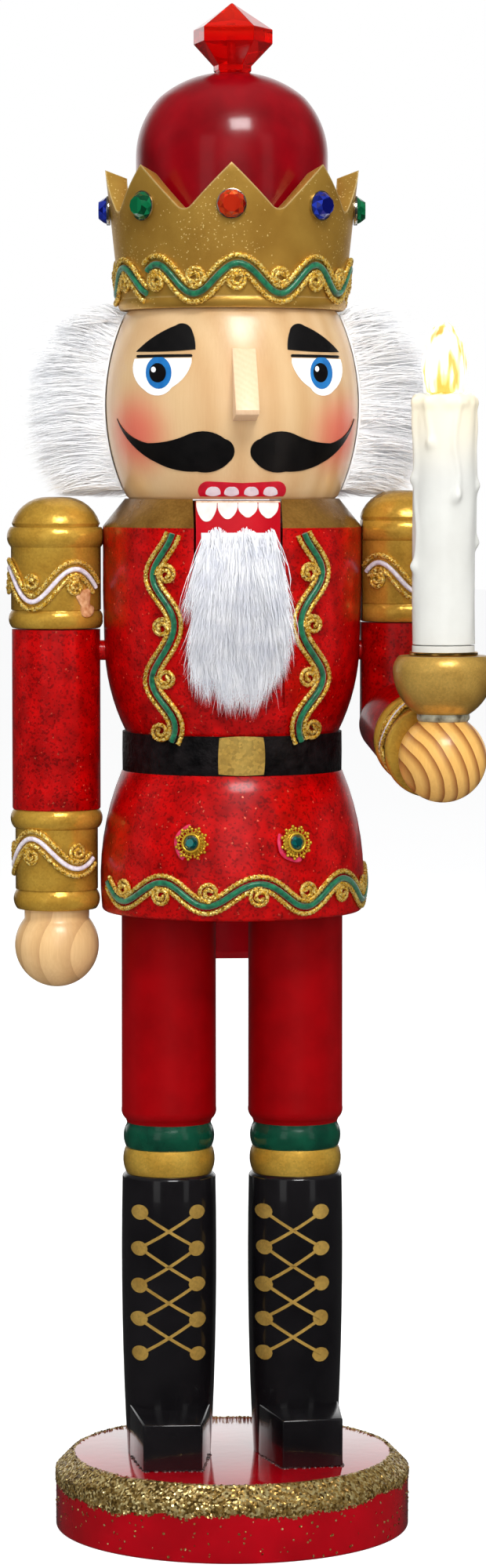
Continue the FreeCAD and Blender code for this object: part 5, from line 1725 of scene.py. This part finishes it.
# Painted light: the streaked colour also glows, for the lamp inside the flame.
for socket in ("Emission Color", "Base Color"):
    clear_tree.links.new(streak_and_glow_colour, clear_sockets[socket])
clear_sockets["Emission Strength"].default_value = 0.5
flame_piece = flame()
surfaced(flame_piece, clear, 1)
fitted(flame_piece, "flame", "clear_crystal", "flame_lens")

# ---- Hidden fittings ----
# Dowels, pins and screws hold the blocks together. The arms' dowels were sprayed red with the coat.
# Under the candle stand the battery holder, a plain AAA cell, its spring and contacts, and the lamp.


def dressed(material, *names):
    """Give CAD nodes that stay in view their finish."""
    for name in names:
        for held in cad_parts[name].material_slots:
            held.material = material


dowel_wood = plain_wood("dowel_birch", tone(226, 192, 146), tone(184, 140, 92), 0.002, 0.15, 0.5, 0.5,
                        Roughness=0.55)
steel = clouded("bright_steel", tone(206, 206, 210), tone(150, 150, 156), 0.0015, 2.0, 0.0005, 0.00004, 0.4,
                Metallic=1.0, Roughness=0.28)
holder_white = clouded("holder_white", tone(214, 214, 208), tone(204, 203, 197), 0.004, 2.0, 0.0009, 0.00006,
                       Roughness=0.4)
jacket, jacket_tree, jacket_sockets = coated("cell_jacket", Roughness=0.3, Metallic=0.3)
jacket_height = node(jacket_tree, "SeparateXYZ", sockets={0: place_in(jacket_tree)}).outputs[2]
jacket_height = carried(jacket_tree, jacket_height, 0.2286, 0.2731)
jacket_colour = ramped(jacket_tree, jacket_height, [
    (0.0, tone(40, 44, 52)), (0.66, tone(196, 150, 70)), (0.975, tone(190, 190, 194))], "CONSTANT")
jacket_tree.links.new(jacket_colour, jacket_sockets["Base Color"])
diode, diode_tree, diode_sockets = coated("lit_diode", Roughness=0.2)
diode_cloud = placed(diode_tree, MOTTLE, Light=tone(255, 236, 170), Dark=tone(255, 210, 120), Size=0.001)
for socket in ("Base Color", "Emission Color"):
    diode_tree.links.new(diode_cloud["Color"], diode_sockets[socket])
diode_sockets["Emission Strength"].default_value = 0.8
dressed(dowel_wood, "leg_dowels", "body_dowel", "head_dowels", "crown_dowel", "hand_dowels")
dressed(COAT_RED, "arm_dowels")
dressed(steel, "base_screws", "jaw_pin", "finial_pin", "cup_pin", "contact_spring")
dressed(holder_white, "battery_holder", "led_socket")
dressed(jacket, "battery_cell")
dressed(brass, "contact_plate")
dressed(diode, "led")

# ---- Floor, light and camera ----
# A pale paper floor that runs out of sight and a white surround. A large soft box stands high in
# front, with weaker ones at the sides, as for a catalogue picture.


def shaders_mixed(tree, amount, first, second):
    """The second shader instead of the first, for a kind of ray."""
    return node(tree, "MixShader", sockets={0: amount, 1: first, 2: second}).outputs[0]


deselected()
bpy.ops.mesh.primitive_plane_add(size=12.0, location=(0, 3.0, 0))
floor = bpy.context.object
floor.name = "studio_floor"
moved_in()
floor_paper, floor_tree, floor_sockets = coated("floor_paper", Roughness=0.9, Specular_IOR_Level=0.1)
paper = placed(floor_tree, MOTTLE, Light=(0.5, 0.5, 0.5, 1.0), Dark=(0.48, 0.48, 0.48, 1.0), Size=0.4)
floor_tree.links.new(paper["Color"], floor_sockets["Base Color"])
floor_shader = floor_tree.nodes["Principled BSDF"].outputs[0]
bright = node(floor_tree, "Emission", sockets={"Strength": 0.8}).outputs[0]
faint = node(floor_tree, "Emission", sockets={"Strength": 0.03}).outputs[0]
glow = node(floor_tree, "AddShader", sockets={0: floor_shader, 1: bright}).outputs[0]
floor_path = node(floor_tree, "LightPath").outputs
dim = shaders_mixed(floor_tree, floor_path["Is Glossy Ray"], floor_shader, faint)
pick = shaders_mixed(floor_tree, floor_path["Is Camera Ray"], dim, glow)
floor_tree.links.new(pick, floor_tree.nodes["Material Output"].inputs[0])
floor.data.materials.append(floor_paper)

surround = bpy.data.worlds.new("surround")
bpy.context.scene.world = surround
surround.use_nodes = True
sky = surround.node_tree
seen = sky.nodes["Background"]
seen.inputs["Strength"].default_value = 1.0
seen.inputs["Color"].default_value = (1.0, 1.0, 1.0, 1.0)
sky_path = node(sky, "LightPath").outputs
towards = node(sky, "SeparateXYZ", sockets={0: node(sky, "TexCoord").outputs["Generated"]}).outputs
ahead = carried(sky, towards[2], -0.15, 0.75, 0.006, 0.1, "SMOOTHSTEP")
behind = carried(sky, towards[1], 0.7, 0.97, ahead, 1.0, "SMOOTHSTEP")
mirrored_sky = node(sky, "Background", sockets={"Color": (1.0, 1.0, 1.0, 1.0), "Strength": behind}).outputs[0]
soft_sky = node(sky, "Background", sockets={"Color": (0.96, 0.98, 1.0, 1.0), "Strength": 0.3}).outputs[0]
direct = worked(sky, "MAXIMUM", sky_path["Is Camera Ray"], sky_path["Is Transmission Ray"])
unseen = shaders_mixed(sky, sky_path["Is Glossy Ray"], soft_sky, mirrored_sky)
either = shaders_mixed(sky, direct, unseen, seen.outputs[0])
sky.links.new(either, sky.nodes["World Output"].inputs[0])


def soft_box(name, place, height_aimed, width, height, power, mirrored=True):
    """Rectangular lamp that faces the object's axis. One that isn't mirrored gives no highlights."""
    deselected()
    bpy.ops.object.light_add(type="AREA", location=place)
    lamp = bpy.context.object
    lamp.name = name
    lamp.data.shape = "RECTANGLE"
    lamp.data.size = width
    lamp.data.size_y = height
    lamp.data.energy = power
    lamp.rotation_euler = (Vector((0, 0, height_aimed)) - Vector(place)).to_track_quat("-Z", "Y").to_euler()
    lamp.visible_glossy = mirrored


soft_box("key_box", (0.16, -1.0, 1.2), 0.22, 0.5, 0.36, 11.0)
soft_box("fill_box", (0.0, -1.8, 0.6), 0.2, 0.9, 0.9, 17.0, False)
soft_box("left_box", (-1.3, 0.05, 0.5), 0.2, 0.35, 1.1, 4.2, False)
soft_box("right_box", (1.3, 0.05, 0.5), 0.2, 0.35, 1.1, 4.2, False)
soft_box("left_strip", (-0.7, -1.1, 0.45), 0.2, 0.4, 0.9, 0.5)
soft_box("right_strip", (0.8, -0.95, 0.45), 0.2, 0.3, 0.9, 0.3)
soft_box("top_box", (0.0, 0.0, 1.2), 0.2, 0.8, 0.8, 5.0, False)
soft_box("back_box", (0.0, 1.4, 0.9), 0.2, 1.2, 0.8, 6.0, False)

LENS, DISTANCE, EYE_HEIGHT, ASIDE = 104.4, 1.1355, 0.2657, 0.00274
pitch, azimuth = math.radians(3.945), math.radians(-3.0)
deselected()
bpy.ops.object.camera_add(
    location=(math.sin(azimuth) * DISTANCE + math.cos(azimuth) * ASIDE,
              -math.cos(azimuth) * DISTANCE + math.sin(azimuth) * ASIDE, EYE_HEIGHT),
    rotation=(math.pi / 2 - pitch, 0, azimuth))
camera = bpy.context.object
camera.name = "camera"
camera.data.lens = LENS
camera.data.sensor_width = 36.0
camera.data.clip_start = 0.01
bpy.context.scene.camera = camera
bpy.context.scene.view_settings.view_transform = "Standard"
bpy.context.scene.view_settings.look = "None"
